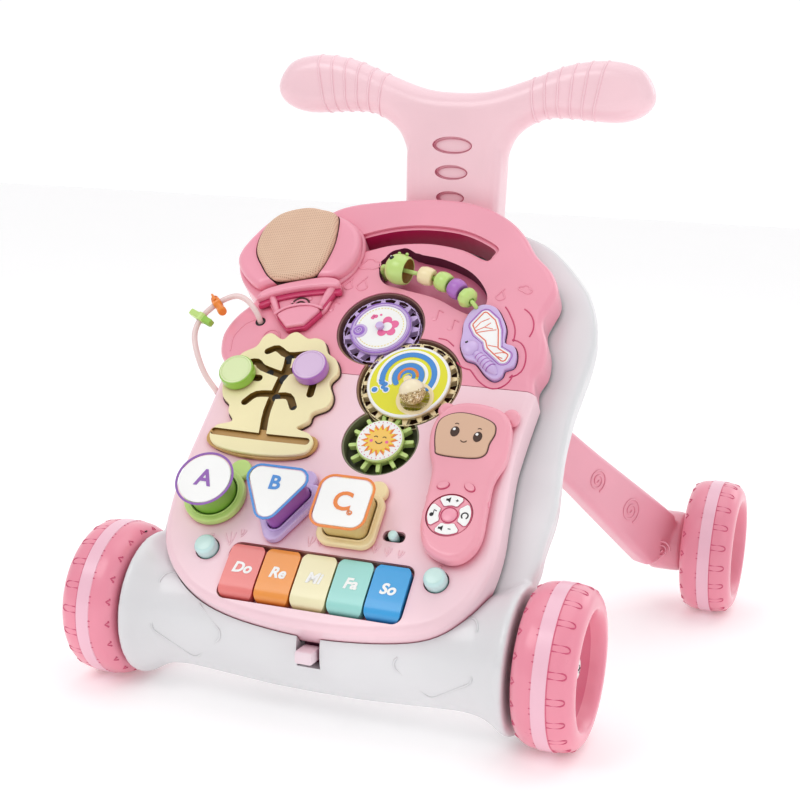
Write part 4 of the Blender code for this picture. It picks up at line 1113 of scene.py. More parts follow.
def make_rear_leg(side, label_text):
    """One rear leg: tapered blade with swirls, barrel on the cross rod, wheel block and stub axle."""
    node = "rear_leg_" + label_text
    hinge = middle("cross_rod") / MM
    hub = middle("wheel_rear_" + label_text) / MM - hinge
    start = Vector((side * 74.5, 4.0, -4.0))
    end = Vector((side * 171.0, 169.0, -144.0))
    along = (end - start).normalized()
    across = Vector((along.y, -along.x, 0.0)).normalized()
    if across.x * side < 0:
        across = -across
    deep_way = along.cross(across).normalized()
    length = (end - start).length
    blade = [(-6, -13), (length * 0.5, -20), (length - 14, -26), (length + 4, -25), (length + 12, -12),
             (length + 12, 12), (length + 3, 25), (length - 14, 26), (length * 0.5, 20), (-6, 13)]
    leg = flat("blade", [spline(blade, 6)], -12.0, 12.0, 5.5, 4)
    turn = Matrix((along, deep_way, along.cross(deep_way))).transposed().to_4x4()
    turn.translation = start
    leg.data.transform(turn)
    barrel = turned("barrel", [(0, 102), (11.2, 102), (12.5, 100.8), (12.5, 45.8), (11.2, 44.5), (0, 44.5)],
                    56)
    barrel.data.transform(Matrix.Rotation(side * math.pi / 2, 4, "Y"))
    wheel_block = turned("wheel_block", [(0, 196.5), (22.5, 196.5), (26.2, 194.0), (27.0, 190.0),
                                         (27.0, 170.0),
                                         (26.2, 166.5), (22.5, 164.0), (0, 164.0)], 72)
    wheel_block.data.transform(Matrix.Translation((0, hub.y, hub.z)) @ Matrix.Rotation(side * math.pi / 2,
            4, "Y"))
    leg = melted(boolean(leg, [barrel, wheel_block], "UNION"), 1.6, 6)
    bore = turned("bore", [(0, 130), (5.3, 130), (5.3, -130), (0, -130)], 40)
    bore.data.transform(Matrix.Rotation(math.pi / 2, 4, "Y"))
    leg = dyed(boolean(leg, [bore]), "leg_pink")
    stub = turned("stub", [(0, 229.5), (3.4, 229.5), (4.0, 228.9), (4.0, 190), (0, 190)], 32)
    stub.data.transform(Matrix.Translation((0, hub.y, hub.z)) @ Matrix.Rotation(side * math.pi / 2, 4, "Y"))
    surface = BVHTree.FromObject(leg, bpy.context.evaluated_depsgraph_get())
    parts = [leg, dyed(stub, "screw_grey")]
    faces = (deep_way.cross(along), along.cross(deep_way))
    for share, turns, size in ((0.30, 1.8, 8.0), (0.53, 2.2, 10.5), (0.76, 2.2, 12.0)):
        spot = start + along * (length * share)
        for facing in faces:
            hit = surface.ray_cast(spot + facing * 60, -facing)
            curl = swirl(turns, 1.2, size, 0.85, "leg_pink")
            seat = facing.to_track_quat("Z", "Y").to_matrix().to_4x4()
            seat.translation = hit[0] + facing * 0.15
            curl.data.transform(seat)
            parts.append(curl)
    centre = Vector((side * 180.2, hub.y, hub.z))
    for facing in (Vector((0, -1, 0)), Vector((0, 1, 0))):
        hit = surface.ray_cast(centre + facing * 80, -facing)
        curl = swirl(2.0, 1.2, 8.5, 0.8, "leg_pink")
        seat = facing.to_track_quat("Z", "Y").to_matrix().to_4x4()
        seat.translation = hit[0] + facing * 0.05
        curl.data.transform(seat)
        parts.append(curl)
    place = Matrix.Translation(hinge * MM) @ WORLD
    return piece(node + "_look", "rear_frame", parts, (node,), "pink", place, 60)


# ---------------------------------------------------------------- gears and their wells
GEARS = {"gear_flower": ((-14.5, 256.7), 15, 31.0, 22.0, 25.0),
         "gear_spiral": ((22.6, 208.9), 19, 38.0, 28.9, 33.0),
         "gear_sun": ((15.2, 154.2), 12, 25.8, 16.6, 18.5)}
BALL_PLACE = (32.0, 194.0)


def painted_well_shade(name, upper, between, lower):
    """Painted shade for the gear wells: maroon at the top well through brown to olive at the lowest, nearly
    black where ambient occlusion finds them closed in.
    """
    material, tree, shader = shell(name, 0.5, 0.06)
    coords = panel_coords(tree)
    drift = noise(tree, coords, 0.05)
    height = coords.axes()[1] + drift * 8.0
    # painted shade: the colour changes with height up the panel
    tone = height.step(240.0, 12.0).blend(tint(*between), tint(*upper))
    tone = height.step(182.0, 12.0).blend(tint(*lower), tone)
    # painted shade: nearly black where the wells close in
    shade_ao = Value.of(tree, "ShaderNodeAmbientOcclusion", {"samples": 4}, {"Distance": 8 * MM}, "AO")
    tone = (1.0 - shade_ao).step(0.75, 0.8).blend(tone, (0.012, 0.006, 0.006))
    finish(tree, shader, tone, drift * 0.1 + 0.42, noise(tree, coords, 1.2, 3.0))
    return material


def make_well_tray():
    """Floors of the three wells and their thin walls, darkened with painted shade, and the posts."""
    floor = dyed(wells_tool(-13.0, -11.0, -0.3),
                 painted_well_shade("well_floor", (88, 10, 50), (96, 44, 24), (66, 74, 28)))
    wall = boolean(wells_tool(-11.2, -1.0, -0.25), [wells_tool(-20.0, 5.0, -1.5)])
    wall = dyed(wall, painted_well_shade("well_wall", (130, 92, 84), (146, 112, 82), (120, 122, 92)))
    posts = []
    for centre, _, _, _, _ in GEARS.values():
        post = turned("post", [(0, -2.6), (2.2, -2.6), (2.8, -3.2), (2.8, -11.5), (0, -11.5)], 24)
        posts.append(dyed(moved(post, *centre, 0.0), "screw_grey"))
    return piece("well_tray_look", "panel", [floor, wall, *posts], ("well_tray",), "maroon", PANEL, 35)


def tooth_start(name):
    """Angle of a gear's first tooth, set so that the outer gears mesh with the middle one."""
    (middle_x, middle_y), middle_teeth = GEARS["gear_spiral"][:2]
    if name == "gear_spiral":
        return math.pi / 2
    (x, y), teeth = GEARS[name][:2]
    towards = math.atan2(y - middle_y, x - middle_x)
    offset = ((towards - math.pi / 2) / (2 * math.pi / middle_teeth)) % 1.0
    return towards + math.pi + (offset + 0.5) * (2 * math.pi / teeth)


def toothed_wheel(name, colour):
    """The toothed disc, its hub and its raised face."""
    _, teeth, tip, root, face = GEARS[name]
    start = tooth_start(name)
    step = 2 * math.pi / teeth
    broad, narrow, soft = {"gear_flower": (0.33, 0.055, 1.2), "gear_spiral": (0.24, 0.06, 0.9),
                           "gear_sun": (0.20, 0.12, 1.35)}[name]
    corners = []
    for i in range(teeth):
        for share, radius in ((-broad, root), (-narrow, tip - 0.3), (narrow, tip - 0.3), (broad, root)):
            angle = start + (i + share) * step
            corners.append((radius * math.cos(angle), radius * math.sin(angle)))
    wheel = dyed(flat("teeth", [corner_loop(corners, soft, 5)], -8.5, -2.6, 0.6, 3), colour)
    hub = dyed(boolean(turned("hub", [(0, -8.0), (root - 2, -8.0), (root - 2, -1.0), (0, -1.0)], 48),
                       [turned("bore", [(0, -20), (3.1, -20), (3.1, -2), (0, -2)], 32)]), colour)
    wheel = dyed(boolean(wheel, [turned("bore", [(0, -20), (3.1, -20), (3.1, 5), (0, 5)], 32)]), colour)
    disc = turned("face", [(0, 1.0), (face - 1.2, 1.0), (face - 0.35, 0.7), (face, 0.0), (face, -1.4),
                           (face - 0.7, -2.2), (0, -2.2)], 96)
    return [wheel, hub, dyed(disc, colour)]


def print_disc(x, y, radius, low, high, colour, sides=40):
    return dyed(flat("print", [circle(x, y, radius, sides)], low, high), colour)


def print_line(path, half, low, high, colour):
    return dyed(flat("print", [stroke(path, half)], low, high), colour)


def make_flower_gear():
    """Lilac gear: white face, dotted ring, pink flower and a violet snail."""
    parts = toothed_wheel("gear_flower", "gear_lilac")
    for radius, height, thick in ((24.2, 0.9, 0.5), (22.3, 1.05, 0.85)):
        parts.append(dyed(tube("rim", [(x, y, height) for x, y in circle(0, 0, radius, 96)], thick, True,
                               2),
                          "gear_violet" if thick < 0.6 else "gear_lilac"))
    parts.append(dyed(flat("label", [circle(0.2, 0.0, 20.9, 96)], 0.9, 1.5, 0.25, 2), "label_white"))
    dash = block("dash", (18.3, -0.75, 1.4), (19.1, 0.75, 1.62))
    parts.append(with_tool("ring", dash, "print_cream", Count=46, Radius=0.0, Start=0.0))
    petal = flat("petal", [ellipse(6.0, 0, 3.9, 3.7, 32)], 1.4, 1.72)
    parts.append(moved(with_tool("ring", petal, "print_pink", Count=5, Radius=0.0, Start=0.5), 5.2, 1.0,
                       0.0))
    parts.append(print_disc(5.2, 1.0, 4.2, 1.4, 1.8, "label_white"))
    for x, y, radius in ((-8.9, 8.6, 1.6), (-6.6, 10.1, 1.6), (-8.6, 10.4, 1.3), (-2.8, 11.9, 1.0)):
        parts.append(print_disc(x, y, radius, 1.4, 1.7, "print_pink", 24))
    parts.append(dyed(turned("snail", [(0, 2.1), (6.2, 2.0), (7.0, 1.2), (7.0, 0.5), (0, 0.5)], 48),
                      "gear_lilac"))
    parts.append(dyed(turned("snail", [(0, 2.8), (3.6, 2.8), (4.7, 2.1), (4.7, 1.0), (0, 1.0)], 48),
                      "gear_violet"))
    for item in parts[-2:]:
        moved(item, -16.4, -5.2, 0.0)
    parts.append(swirl(1.6, 0.7, 3.0, 0.5, "gear_lilac", -16.4, -5.2, 2.9, 40))
    parts = [moved(part, *GEARS["gear_flower"][0], 0.0) for part in parts]
    return piece("gear_flower_look", "gear_flower", parts, ("gear_flower",), "lilac", PANEL, 40)


def make_spiral_gear():
    """Cream gear with a yellow face and blue and orange bands that end in a spiral, and small blue drops."""
    parts = toothed_wheel("gear_spiral", "gear_cream")
    parts.append(dyed(turned("edge", [(30.2, 0.8), (30.6, 1.5), (32.2, 1.5), (32.8, 0.9), (32.8, 0.4),
                                      (30.2, 0.4)],
                             120, True), "label_white"))
    parts.append(dyed(flat("label", [circle(0, 0, 30.6, 120)], 0.8, 1.3), "face_lime"))
    bands = ((23.8, 1.1, -30, 197, "label_white", 1.45), (20.5, 2.15, -27, 195, "print_blue", 1.6),
             (14.4, 1.2, -28, 212, "label_white", 1.45), (10.6, 2.15, -25, 220, "print_blue", 1.6),
             (7.4, 1.0, 10, 205, "print_orange", 1.65))
    for radius, half, first, last, colour, top in bands:
        parts.append(print_line(arc(-1.3, 4.2, radius, first, last, 60), half, 1.1, top, colour))
    curl = spline([(-6.4, -0.6), (-5.8, 2.4), (-2.0, 5.2), (2.4, 4.0), (4.1, 0.6), (2.4, -2.6),
                   (-0.9, -2.4), (-1.6, 0.2),
                   (0.3, 1.2)], 5, False)
    parts.append(print_line([(x - 1.0, y + 3.9) for x, y in curl], 1.35, 1.1, 1.6, "print_blue"))
    for x, y, radius in ((-20.6, -3.4, 2.6), (-17.4, -4.6, 2.2), (-18.6, -7.6, 2.0), (-24.6, -10.6, 2.6),
                         (-15.6, -9.6, 2.4), (-22.6, -1.6, 1.4)):
        parts.append(print_disc(x, y, radius + 0.6, 1.1, 1.5, "label_white", 24))
        parts.append(print_disc(x, y, radius - 0.3, 1.1, 1.65, "print_blue", 24))
    ball_x, ball_y = (a - b for a, b in zip(BALL_PLACE, GEARS["gear_spiral"][0]))
    seat = turned("seat", [(0, 1.3), (11.5, 1.3), (13.2, 1.9), (14.6, 1.7), (15.0, 1.0), (0, 1.0)], 72)
    parts.append(dyed(moved(seat, ball_x, ball_y, 0.0), "gear_cream"))
    parts = [moved(part, *GEARS["gear_spiral"][0], 0.0) for part in parts]
    return piece("gear_spiral_look", "gear_spiral", parts, ("gear_spiral",), "cream", PANEL, 40)


def make_gear_ball():
    """Round knob: a painted highlight of smooth pale cream over its upper left, toward the key lamp, and
    coarse glitter below.
    """
    profile = spline([(0, 20.2), (3.4, 19.7), (6.8, 17.6), (9.3, 14.2), (10.2, 10.4), (9.2, 6.4),
                      (6.4, 3.2), (5.2, 2.1)],
                     4, False)
    solid = turned("ball", [*profile, (5.2, 1.5), (0, 1.5)], 64)
    material, tree, shader = shell("glitter_ball", 0.3, 0.4)
    coords = panel_coords(tree)
    across, up, out = coords.axes()
    # painted highlight: smooth pale cream on the side facing up, left and out, toward the key lamp
    slope = (up - BALL_PLACE[1]) * 0.62 - (across - BALL_PLACE[0]) * 0.30 + (out - 10.5) * 0.72
    edge = noise(tree, coords, 0.5) * 2.4 - 1.2
    smooth = (slope + edge).step(1.6, 1.6)
    flakes = Value.of(tree, "ShaderNodeTexVoronoi", {"feature": "F1"}, {"Vector": coords, "Scale": 1.1},
                      "Color")
    sparkle = flakes.axes()[0]
    gold = sparkle.step(0.5, 0.7).blend(tint(150, 116, 62), tint(236, 214, 160))
    # the glitter is real; its brightest flakes are painted near white as glints
    gold = sparkle.step(0.9, 0.06).blend(gold, tint(255, 250, 226))
    tone = smooth.blend(gold, tint(248, 234, 200))
    finish(tree, shader, tone, 0.42 - smooth * 0.16, sparkle * (1.0 - smooth), 0.35, 0.0004)
    solid = dyed(moved(solid, *BALL_PLACE, 0.0), material)
    return piece("gear_ball_look", "gear_spiral", [solid], ("gear_ball",), "tan", PANEL, 60)


def make_sun_gear():
    """Green gear with a white face, a smiling sun and pink dots."""
    parts = toothed_wheel("gear_sun", "gear_green")
    parts.append(dyed(flat("label", [circle(0, 0, 17.4, 96)], 0.9, 1.45, 0.25, 2), "label_white"))
    points = 32
    rays = [((14.6 if i % 2 == 0 else 9.6) * math.cos(2 * math.pi * i / points + 0.1),
             (14.6 if i % 2 == 0 else 9.6) * math.sin(2 * math.pi * i / points + 0.1)) for i in range(points)]
    parts.append(dyed(flat("rays", [rays], 1.4, 1.65), "print_orange"))
    inner = [(x * 0.86 * math.cos(0.1) - y * 0.86 * math.sin(0.1),
              x * 0.86 * math.sin(0.1) + y * 0.86 * math.cos(0.1))
             for x, y in rays]
    parts.append(dyed(flat("rays", [inner], 1.4, 1.72), "print_yellow"))
    parts.append(print_disc(0, 0, 8.9, 1.4, 1.8, "print_sun"))
    for side in (-1, 1):
        parts.append(print_line(arc(side * 3.4, 1.5, 1.5, 35, 145, 8), 0.32, 1.7, 1.95, "ink_black"))
        parts.append(print_disc(side * 6.2, -1.2, 1.3, 1.7, 1.9, "print_pink", 20))
    parts.append(print_line(arc(0, -0.4, 2.8, 205, 335, 12), 0.38, 1.7, 1.95, "ink_black"))
    dot = flat("dot", [circle(16.0, 0, 0.42, 10)], 1.4, 1.6)
    parts.append(with_tool("ring", dot, "print_pink", Count=30, Radius=0.0, Start=0.0))
    parts = [moved(part, *GEARS["gear_sun"][0], 0.0) for part in parts]
    return piece("gear_sun_look", "gear_sun", parts, ("gear_sun",), "green", PANEL, 40)


# ---------------------------------------------------------------- balloon, wire and its beads
BALLOON = [(-128, 274), (-148, 292), (-157, 313), (-153, 338), (-136, 358), (-110, 366), (-80, 364),
           (-58, 350),
           (-50, 330), (-53, 308), (-66, 288), (-69, 262), (-79, 250), (-98, 251), (-110, 266)]
ENVELOPE = [(-149, 336), (-156, 313), (-148, 297), (-129, 282), (-116, 286), (-88, 294), (-66, 297),
            (-53, 312),
            (-52, 332), (-60, 349), (-80, 361), (-110, 364), (-135, 356)]
GRILLE = [(-140, 340), (-140, 318), (-130, 302), (-114, 288), (-88, 292), (-78, 300), (-74, 322),
          (-75, 340),
          (-80, 358), (-94, 363), (-110, 364), (-130, 356)]
COLLAR = [(-123, 268), (-121, 277), (-107, 285), (-90, 291), (-72, 295.5), (-60, 294), (-58, 288),
          (-72, 286),
          (-92, 281.5), (-110, 275)]
BASKET = [(-103, 257), (-91, 245.5), (-77, 249.5), (-67, 266), (-76, 268.5), (-86, 267), (-96, 263)]


def grille_finish():
    """Tan grille with a fine square mesh of holes, each painted darker for the shade inside it, and painted
    shade where ambient occlusion finds it closed in.
    """
    material, tree, shader = shell("speaker_mesh", 0.55, 0.08)
    coords = panel_coords(tree)
    across, up, _ = coords.axes()
    pitch = 2 * math.pi / 1.75
    net = ((across * pitch).wave() + 1.0) * ((up * pitch).wave() + 1.0) * 0.25
    hole = net.step(0.55, 0.5)
    cloud = noise(tree, coords, 0.03).step(0.5, 0.6).blend(tint(226, 188, 160), tint(234, 200, 172))
    # painted shade: the holes are darker for the shade inside them
    tone = hole.blend(cloud, tint(186, 144, 118))
    # painted shade where ambient occlusion finds the grille closed in
    shade_ao = Value.of(tree, "ShaderNodeAmbientOcclusion", {"samples": 4}, {"Distance": 5 * MM}, "AO")
    tone = (1.0 - shade_ao).step(0.55, 0.7).blend(tone, tint(150, 104, 84))
    finish(tree, shader, tone, hole * 0.15 + 0.5, 1.0 - hole, 0.4, 0.0004)
    return material


def make_balloon():
    """Balloon in relief: two lobes around the grille, arched collar, posts and basket, with painted shade in
    the crevices under the collar, posts and basket.
    """
    base = dyed(flat("base", [spline(BALLOON)], -25.0, 3.0, 3.0, 4), "rose_shell")
    lobes = flat("lobes", [spline(ENVELOPE)], -4.0, 11.0, 6.0, 6)
    seat = flat("seat", [grown(spline(GRILLE), 1.0)], 5.5, 30.0)
    lobes = dyed(softened(boolean(lobes, [seat]), 0.7, 2), "rose_shell")
    gap = dyed(flat("gap", [grown(spline(GRILLE), 0.9)], 4.0, 6.2), "shadow_brown")
    parts = [base, lobes, gap]
    # painted shade under the collar: the collar's outline moved down and across
    shade_line = [(x + 1.4, y - 4.2) for x, y in spline(COLLAR, 4)]
    parts.append(dyed(flat("collar_shade", [shade_line], 1.0, 6.0, 1.2, 2), "crimson"))
    parts.append(dyed(flat("collar", [spline(COLLAR, 5)], 1.0, 11.0, 2.4, 4), "rose_shell"))
    wall = [(-117, 272), (-103, 255), (-92, 245), (-76, 249), (-64, 268), (-61, 288), (-90, 284)]
    parts.append(dyed(flat("wall", [corner_loop(wall, 2.5)], 0.0, 3.6, 0.8, 2), "rose_shell"))
    for (x0, y0), (x1, y1), wide in (((-113, 274.5), (-102, 257.5), 3.2),
                                     ((-64.5, 288.5), (-69.5, 268), 3.9)):
        path = [(x0 + (x1 - x0) * t, y0 + (y1 - y0) * t) for t in (0.0, 0.35, 0.7, 1.0)]
        thick = [wide, wide * 0.86, wide * 0.66, wide * 0.5]
        parts.append(dyed(tube("post", [(x, y, 4.6) for x, y in path], thick, False, 4), "rose_shell"))
        # painted shade beside each post
        parts.append(dyed(tube("post_shade", [(x + 1.4, y - 0.4, 2.6) for x, y in path],
                               [t + 0.2 for t in thick], False, 3), "crimson"))
    bowl = corner_loop(BASKET, 2.0)
    parts.append(dyed(flat("bowl", [bowl], 0.0, 7.5, 1.6, 3), "rose_shell"))
    # painted shade under the basket
    parts.append(dyed(flat("bowl_shade", [[(x + 0.6, y - 1.0) for x, y in grown(bowl, 1.1)]], 0.0, 4.4,
                           0.5), "crimson"))
    rim = spline([(-104.5, 256.5), (-97, 263.5), (-86.5, 267.6), (-75.5, 268.6), (-66, 266.4)], 5, False)
    parts.append(dyed(tube("rim", [(x, y, 7.4) for x, y in rim], 1.25, False, 3), "rose_shell"))
    for radius, start, end in ((7.6, 5, 175), (4.0, -10, 190)):
        parts.append(dyed(tube("curl", [(x, y, 3.7) for x, y in arc(-87, 269.5, radius, start, end, 18)],
                               0.75, False, 2),
                          "shadow_brown"))
    parts.append(dyed(ball("curl", (-86.5, 270.4, 3.6), (1.2, 1.2, 0.9), rings=8), "shadow_brown"))
    for x, y in ((-80.6, 277.0), (-95.0, 272.0)):
        parts.append(dyed(ball("bump", (x, y, 3.5), (1.8, 1.8, 1.1), rings=10), "rose_shell"))
    piece("balloon_look", "panel", parts, ("balloon_frame",), "pink", PANEL, 50)
    mesh = flat("grille", [spline(GRILLE)], 6.0, 15.0, 5.0, 6)
    return piece("speaker_grille_look", "panel", [dyed(mesh, grille_finish())], ("speaker_grille",), "tan",
                 PANEL, 60)


WIRE_KNOTS = [(-118, 253, -6), (-118, 253, 0.5), (-118.3, 254, 5), (-122, 258, 10), (-130, 264, 13),
              (-141, 266, 14),
              (-154, 258, 13), (-164, 244, 11), (-166, 230, 8), (-160, 215, 4), (-150, 200, -3),
              (-138, 189, -9),
              (-136.2, 187, -10)]
WIRE_BEADS = {"wire_bead_orange": ((-154, 258, 13), (-0.7187, -0.6891, -0.0926)),
              "wire_bead_green": ((-164, 244, 11), (-0.3985, -0.9035, -0.1578))}


def make_wire():
    """Rigid moulded wire with its seat."""
    wire = dyed(tube("wire", spline(WIRE_KNOTS, 6, False), chosen_width("wire_width") / 2, False, 4),
                "wire_pink")
    # painted shade: a black ring for the dark gap round the wire at its hole
    hole = dyed(turned("hole", [(2.5, 0.25), (4.3, 0.25), (4.3, -1.0), (2.5, -1.0)], 32, True), "ink_black")
    return piece("bead_wire_look", "panel", [wire, moved(hole, -118, 253, -0.6)], ("bead_wire",), "pink",
                 PANEL, 60)


def make_wire_beads():
    """Orange spire bead and green two-ended bead, both bored for the wire."""
    spire = [(0, -11.4), (3.9, -11.4), (4.6, -10.6), (4.7, -8.4), (3.5, -7.4), (3.7, -3.0), (3.9, 2.5),
             (3.3, 5.0),
             (4.0, 5.8), (3.0, 6.8), (1.9, 7.4), (1.6, 9.6), (1.1, 11.8), (0, 12.0)]
    for node, (spot, heading) in WIRE_BEADS.items():
        hub = turned("hub", [(0, -3.4), (3.9, -3.4), (4.5, -2.8), (4.5, 2.8), (3.9, 3.4), (0, 3.4)], 40)
        if node.endswith("orange"):
            body = moved(turned("spire", spire, 32), turn=-90, about="X")
            body.data.transform(Matrix.Diagonal((1.0, 1.0, 0.78, 1.0)))
            fins = [block("fin", (-5.4, -4.0, -1.0), (-2.0, 6.2, 1.0), 0.6),
                    block("fin", (2.0, 0.5, -1.0), (6.0, 5.0, 1.0), 0.6)]
            shapes = [(boolean(body, [hub, *fins], "UNION"), "bead_orange")]
        else:
            upper = block("upper", (-3.4, 0.4, -2.7), (3.4, 11.8, 2.7), 1.3)
            lower = block("lower", (-3.1, -11.8, -2.5), (3.1, -0.4, 2.5), 1.0)
            rib = [block("rib", (-2.1, -11.0, 1.6), (-0.9, -4.0, 3.0), 0.4),
                   block("rib", (0.9, -11.0, 1.6), (2.1, -4.0, 3.0), 0.4)]
            shapes = [(boolean(upper, [hub], "UNION"), "leaf_green"),
                      (boolean(lower, rib, "UNION"), "deep_green")]
        parts = []
        for solid, colour in shapes:
            bore = turned("bore", [(0, -20), (2.85, -20), (2.85, 20), (0, 20)], 32)
            parts.append(dyed(softened(boolean(solid, [bore]), 0.3, 2), colour))
        seat = Vector(heading).to_track_quat("Z", "X").to_matrix().to_4x4()
        seat.translation = spot
        for part in parts:
            part.data.transform(seat)
        piece(node + "_look", node, parts, (node,), "orange" if node.endswith("orange") else "green", PANEL,
              45)


# ---------------------------------------------------------------- grub on its rod
ROD_KNOTS = [(-29.5, 313, -10.6), (-29.5, 313, 0), (-28, 313, 5.5), (-24.5, 312.6, 7), (-13.5, 311, 7),
             (12, 306, 7),
             (27.5, 301.5, 7), (40, 295.5, 7), (50.5, 288, 7), (55.5, 284, 7), (58.2, 282, 4.5),
             (58.8, 281.6, 0),
             (58.8, 281.6, -10.6)]
ROD_BEADS = {"grub_bead_1": (5, 7.5, 6.3, "gear_cream", "cream"),
             "grub_bead_2": (6, 8.0, 6.0, "leaf_green", "green"),
             "grub_bead_3": (7, 8.2, 5.7, "violet", "lilac")}


def rod_seat(knot):
    """Place and heading on the rod at one of its knots."""
    path = [Vector(p) for p in spline(ROD_KNOTS, 2, False)]
    seat = (path[2 * knot + 1] - path[2 * knot - 1]).normalized().to_track_quat("Z",
            "Y").to_matrix().to_4x4()
    seat.translation = path[2 * knot]
    return seat


def make_grub():
    """Rod in its well, a head with eye and horns, three beads and a bulb tail."""
    rod = dyed(tube("rod", spline(ROD_KNOTS, 6, False), 1.75, False, 4), "leaf_green")
    piece("grub_rod_look", "panel", [rod], ("grub_rod",), "green", PANEL, 60)
    for node, (knot, radius, half, colour, slot) in ROD_BEADS.items():
        profile = [(2.3, half - 0.5), (2.9, half), (radius * 0.72, half), (radius * 0.88, half - 0.9),
                   (radius, half * 0.3),
                   (radius, -half * 0.3), (radius * 0.88, -half + 0.9), (radius * 0.72, -half),
                   (2.9, -half),
                   (2.3, -half + 0.5)]
        bead = dyed(turned("bead", profile, 48, True), colour)
        bead.data.transform(rod_seat(knot))
        piece(node + "_look", node, [bead], (node,), slot, PANEL, 50)
    bulb = [(2.3, -5.2), (4.6, -5.2), (7.2, -3.6), (8.5, -0.6), (8.3, 1.8), (6.6, 4.2), (4.0, 5.3),
            (2.3, 5.3)]
    tail = dyed(turned("tail", [bulb[0], *spline(bulb[1:-1], 3, False), bulb[-1]], 9, True), "leaf_green")
    tail = softened(tail, 1.4, 3, 20)
    tail.data.transform(rod_seat(8))
    piece("grub_tail_look", "grub_tail", [tail], ("grub_tail",), "green", PANEL, 60)
    outer = spline([(3.4, -10.0), (7.8, -8.6), (11.2, -5.0), (12.4, -0.4), (12.2, 4.0), (11.4, 7.6),
                    (10.6, 8.8)], 4, False)
    head = turned("head", [(2.3, -9.6), *outer, (9.9, 8.6), (9.2, 7.0), (7.6, 5.0), (2.3, 4.2)], 64, True)
    head = dyed(head, "leaf_green")
    # painted shade: the hollow at the front of the head takes the olive shade
    head.data.materials.append(paint("olive_wall"))
    for face in head.data.polygons:
        if face.center.z > 4.0 and math.hypot(face.center.x, face.center.y) < 10.2:
            face.material_index = 1
    seat = rod_seat(4)
    head.data.transform(seat)
    centre = seat.translation
    parts = [head]
    for (x, y, z), size, colour in (((-3.4, 2.0, 10.9), 2.1, "ink_black"),
                                    ((-4.0, 2.8, 12.6), 0.62, "label_white"),
                                    ((0.0, 9.6, 8.0), 1.35, "leaf_green"),
                                    ((6.6, 9.2, 8.0), 1.35, "leaf_green")):
        parts.append(dyed(ball("spot", centre + Vector((x, y, z)), (size, size, size), rings=12), colour))
    return piece("grub_head_look", "grub_head", parts, ("grub_head",), "green", PANEL, 50)


# ---------------------------------------------------------------- tree with its knobs
TREE = [(-123, 205), (-120, 217), (-110, 225), (-107, 235), (-101, 239), (-90, 234), (-85, 240), (-79, 242),
        (-69, 237),
        (-62, 238), (-54, 235), (-48, 225), (-39, 219), (-34, 208), (-38, 198), (-32, 186), (-33, 176),
        (-43, 169),
        (-44, 161), (-51, 154), (-40, 150.5), (-34, 143), (-38, 133), (-58, 128), (-88, 127), (-112, 131),
        (-120, 140),
        (-117, 149), (-106, 154), (-112, 162), (-114, 169), (-122, 176), (-126, 190)]
TREE_SLOTS = [[(-98, 221), (-91, 224.5), (-80, 219), (-64, 222)],
              [(-79, 218), (-77.5, 206), (-79, 190), (-80, 166), (-76.5, 144)],
              [(-113, 208), (-104, 210), (-97, 205), (-79, 200)],
              [(-78, 196), (-74, 204), (-64, 205), (-52, 198), (-50, 185)],
              [(-101, 172), (-94, 180), (-80, 182)], [(-79, 180), (-67, 181), (-60, 172)],
              [(-117, 143), (-78, 142.5), (-40, 143)],
              [(-116, 195), (-97, 195)], [(-53, 206), (-67, 206)]]
TREE_KNOBS = {"tree_knob_green": ((-114.0, 195.0), "knob_green", "deep_green", "green"),
              "tree_knob_lilac": ((-55.0, 206.0), "knob_lilac", "violet", "lilac")}


def make_tree():
    """Cream tree with slots along its trunk, boughs and ground, the slots in painted olive and black shade,
    on a thin painted shadow line.
    """
    plate = dyed(flat("plate", [spline(TREE, 4)], 0.3, 6.2, 1.1, 3), "tree_cream")
    half_slot = chosen_width("slot_width") / 2
    # the slot cutters leave a painted olive shade in the slots
    plate = boolean(plate, [dyed(flat("slot", [stroke(spline(path, 3, False), half_slot)], 1.2 + 0.03 * i,
                                      12.0 + i),
                                 "olive_wall") for i, path in enumerate(TREE_SLOTS)])
    # painted shade: black discs in the slots' floors
    pits = [print_disc(x, y, radius, 1.0, 1.45, "black_floor", 24)
            for x, y, radius in ((-80.0, 218.0, 4.2), (-92.0, 203.5, 3.0), (-77.5, 199.0, 4.6),
                                 (-79.0, 181.5, 3.4),
                                 (-60.5, 173.0, 3.0), (-77.0, 143.0, 2.8))]
    side = spline([(-122, 143), (-118, 133), (-90, 126), (-58, 127), (-38, 133), (-32, 143), (-40, 150),
                   (-78, 150), (-114, 150)], 4)
    ground = dyed(flat("ground", [grown(side, 0.6)], 0.2, 3.6, 0.8, 2), "bark_tan")
    # painted shadow: a thin dark line round the tree
    line = dyed(flat("line", [grown(spline(TREE, 4), 1.0)], 0.05, 0.9), "shadow_brown")
    piece("tree_look", "panel", [plate, ground, line, *pits], ("tree_plate",), "cream", PANEL, 35)
    for node, (spot, top, rim, slot) in TREE_KNOBS.items():
        side_part = turned("side", [(0, 3.0), (2.2, 3.0), (2.2, 7.0), (13.2, 7.0), (14.0, 7.8),
                                    (14.0, 14.6), (13.6, 15.4),
                                    (12.6, 15.9), (0, 15.9)], 72)
        cap = turned("cap", [(0, 16.2), (10.6, 16.2), (11.3, 15.9), (11.9, 16.5), (12.7, 16.3),
                             (13.0, 15.6), (0, 15.6)], 72)
        parts = [moved(dyed(side_part, rim), *spot, 0.0), moved(dyed(cap, top), *spot, 0.0)]
        piece(node + "_look", node, parts, (node,), slot, PANEL, 35)


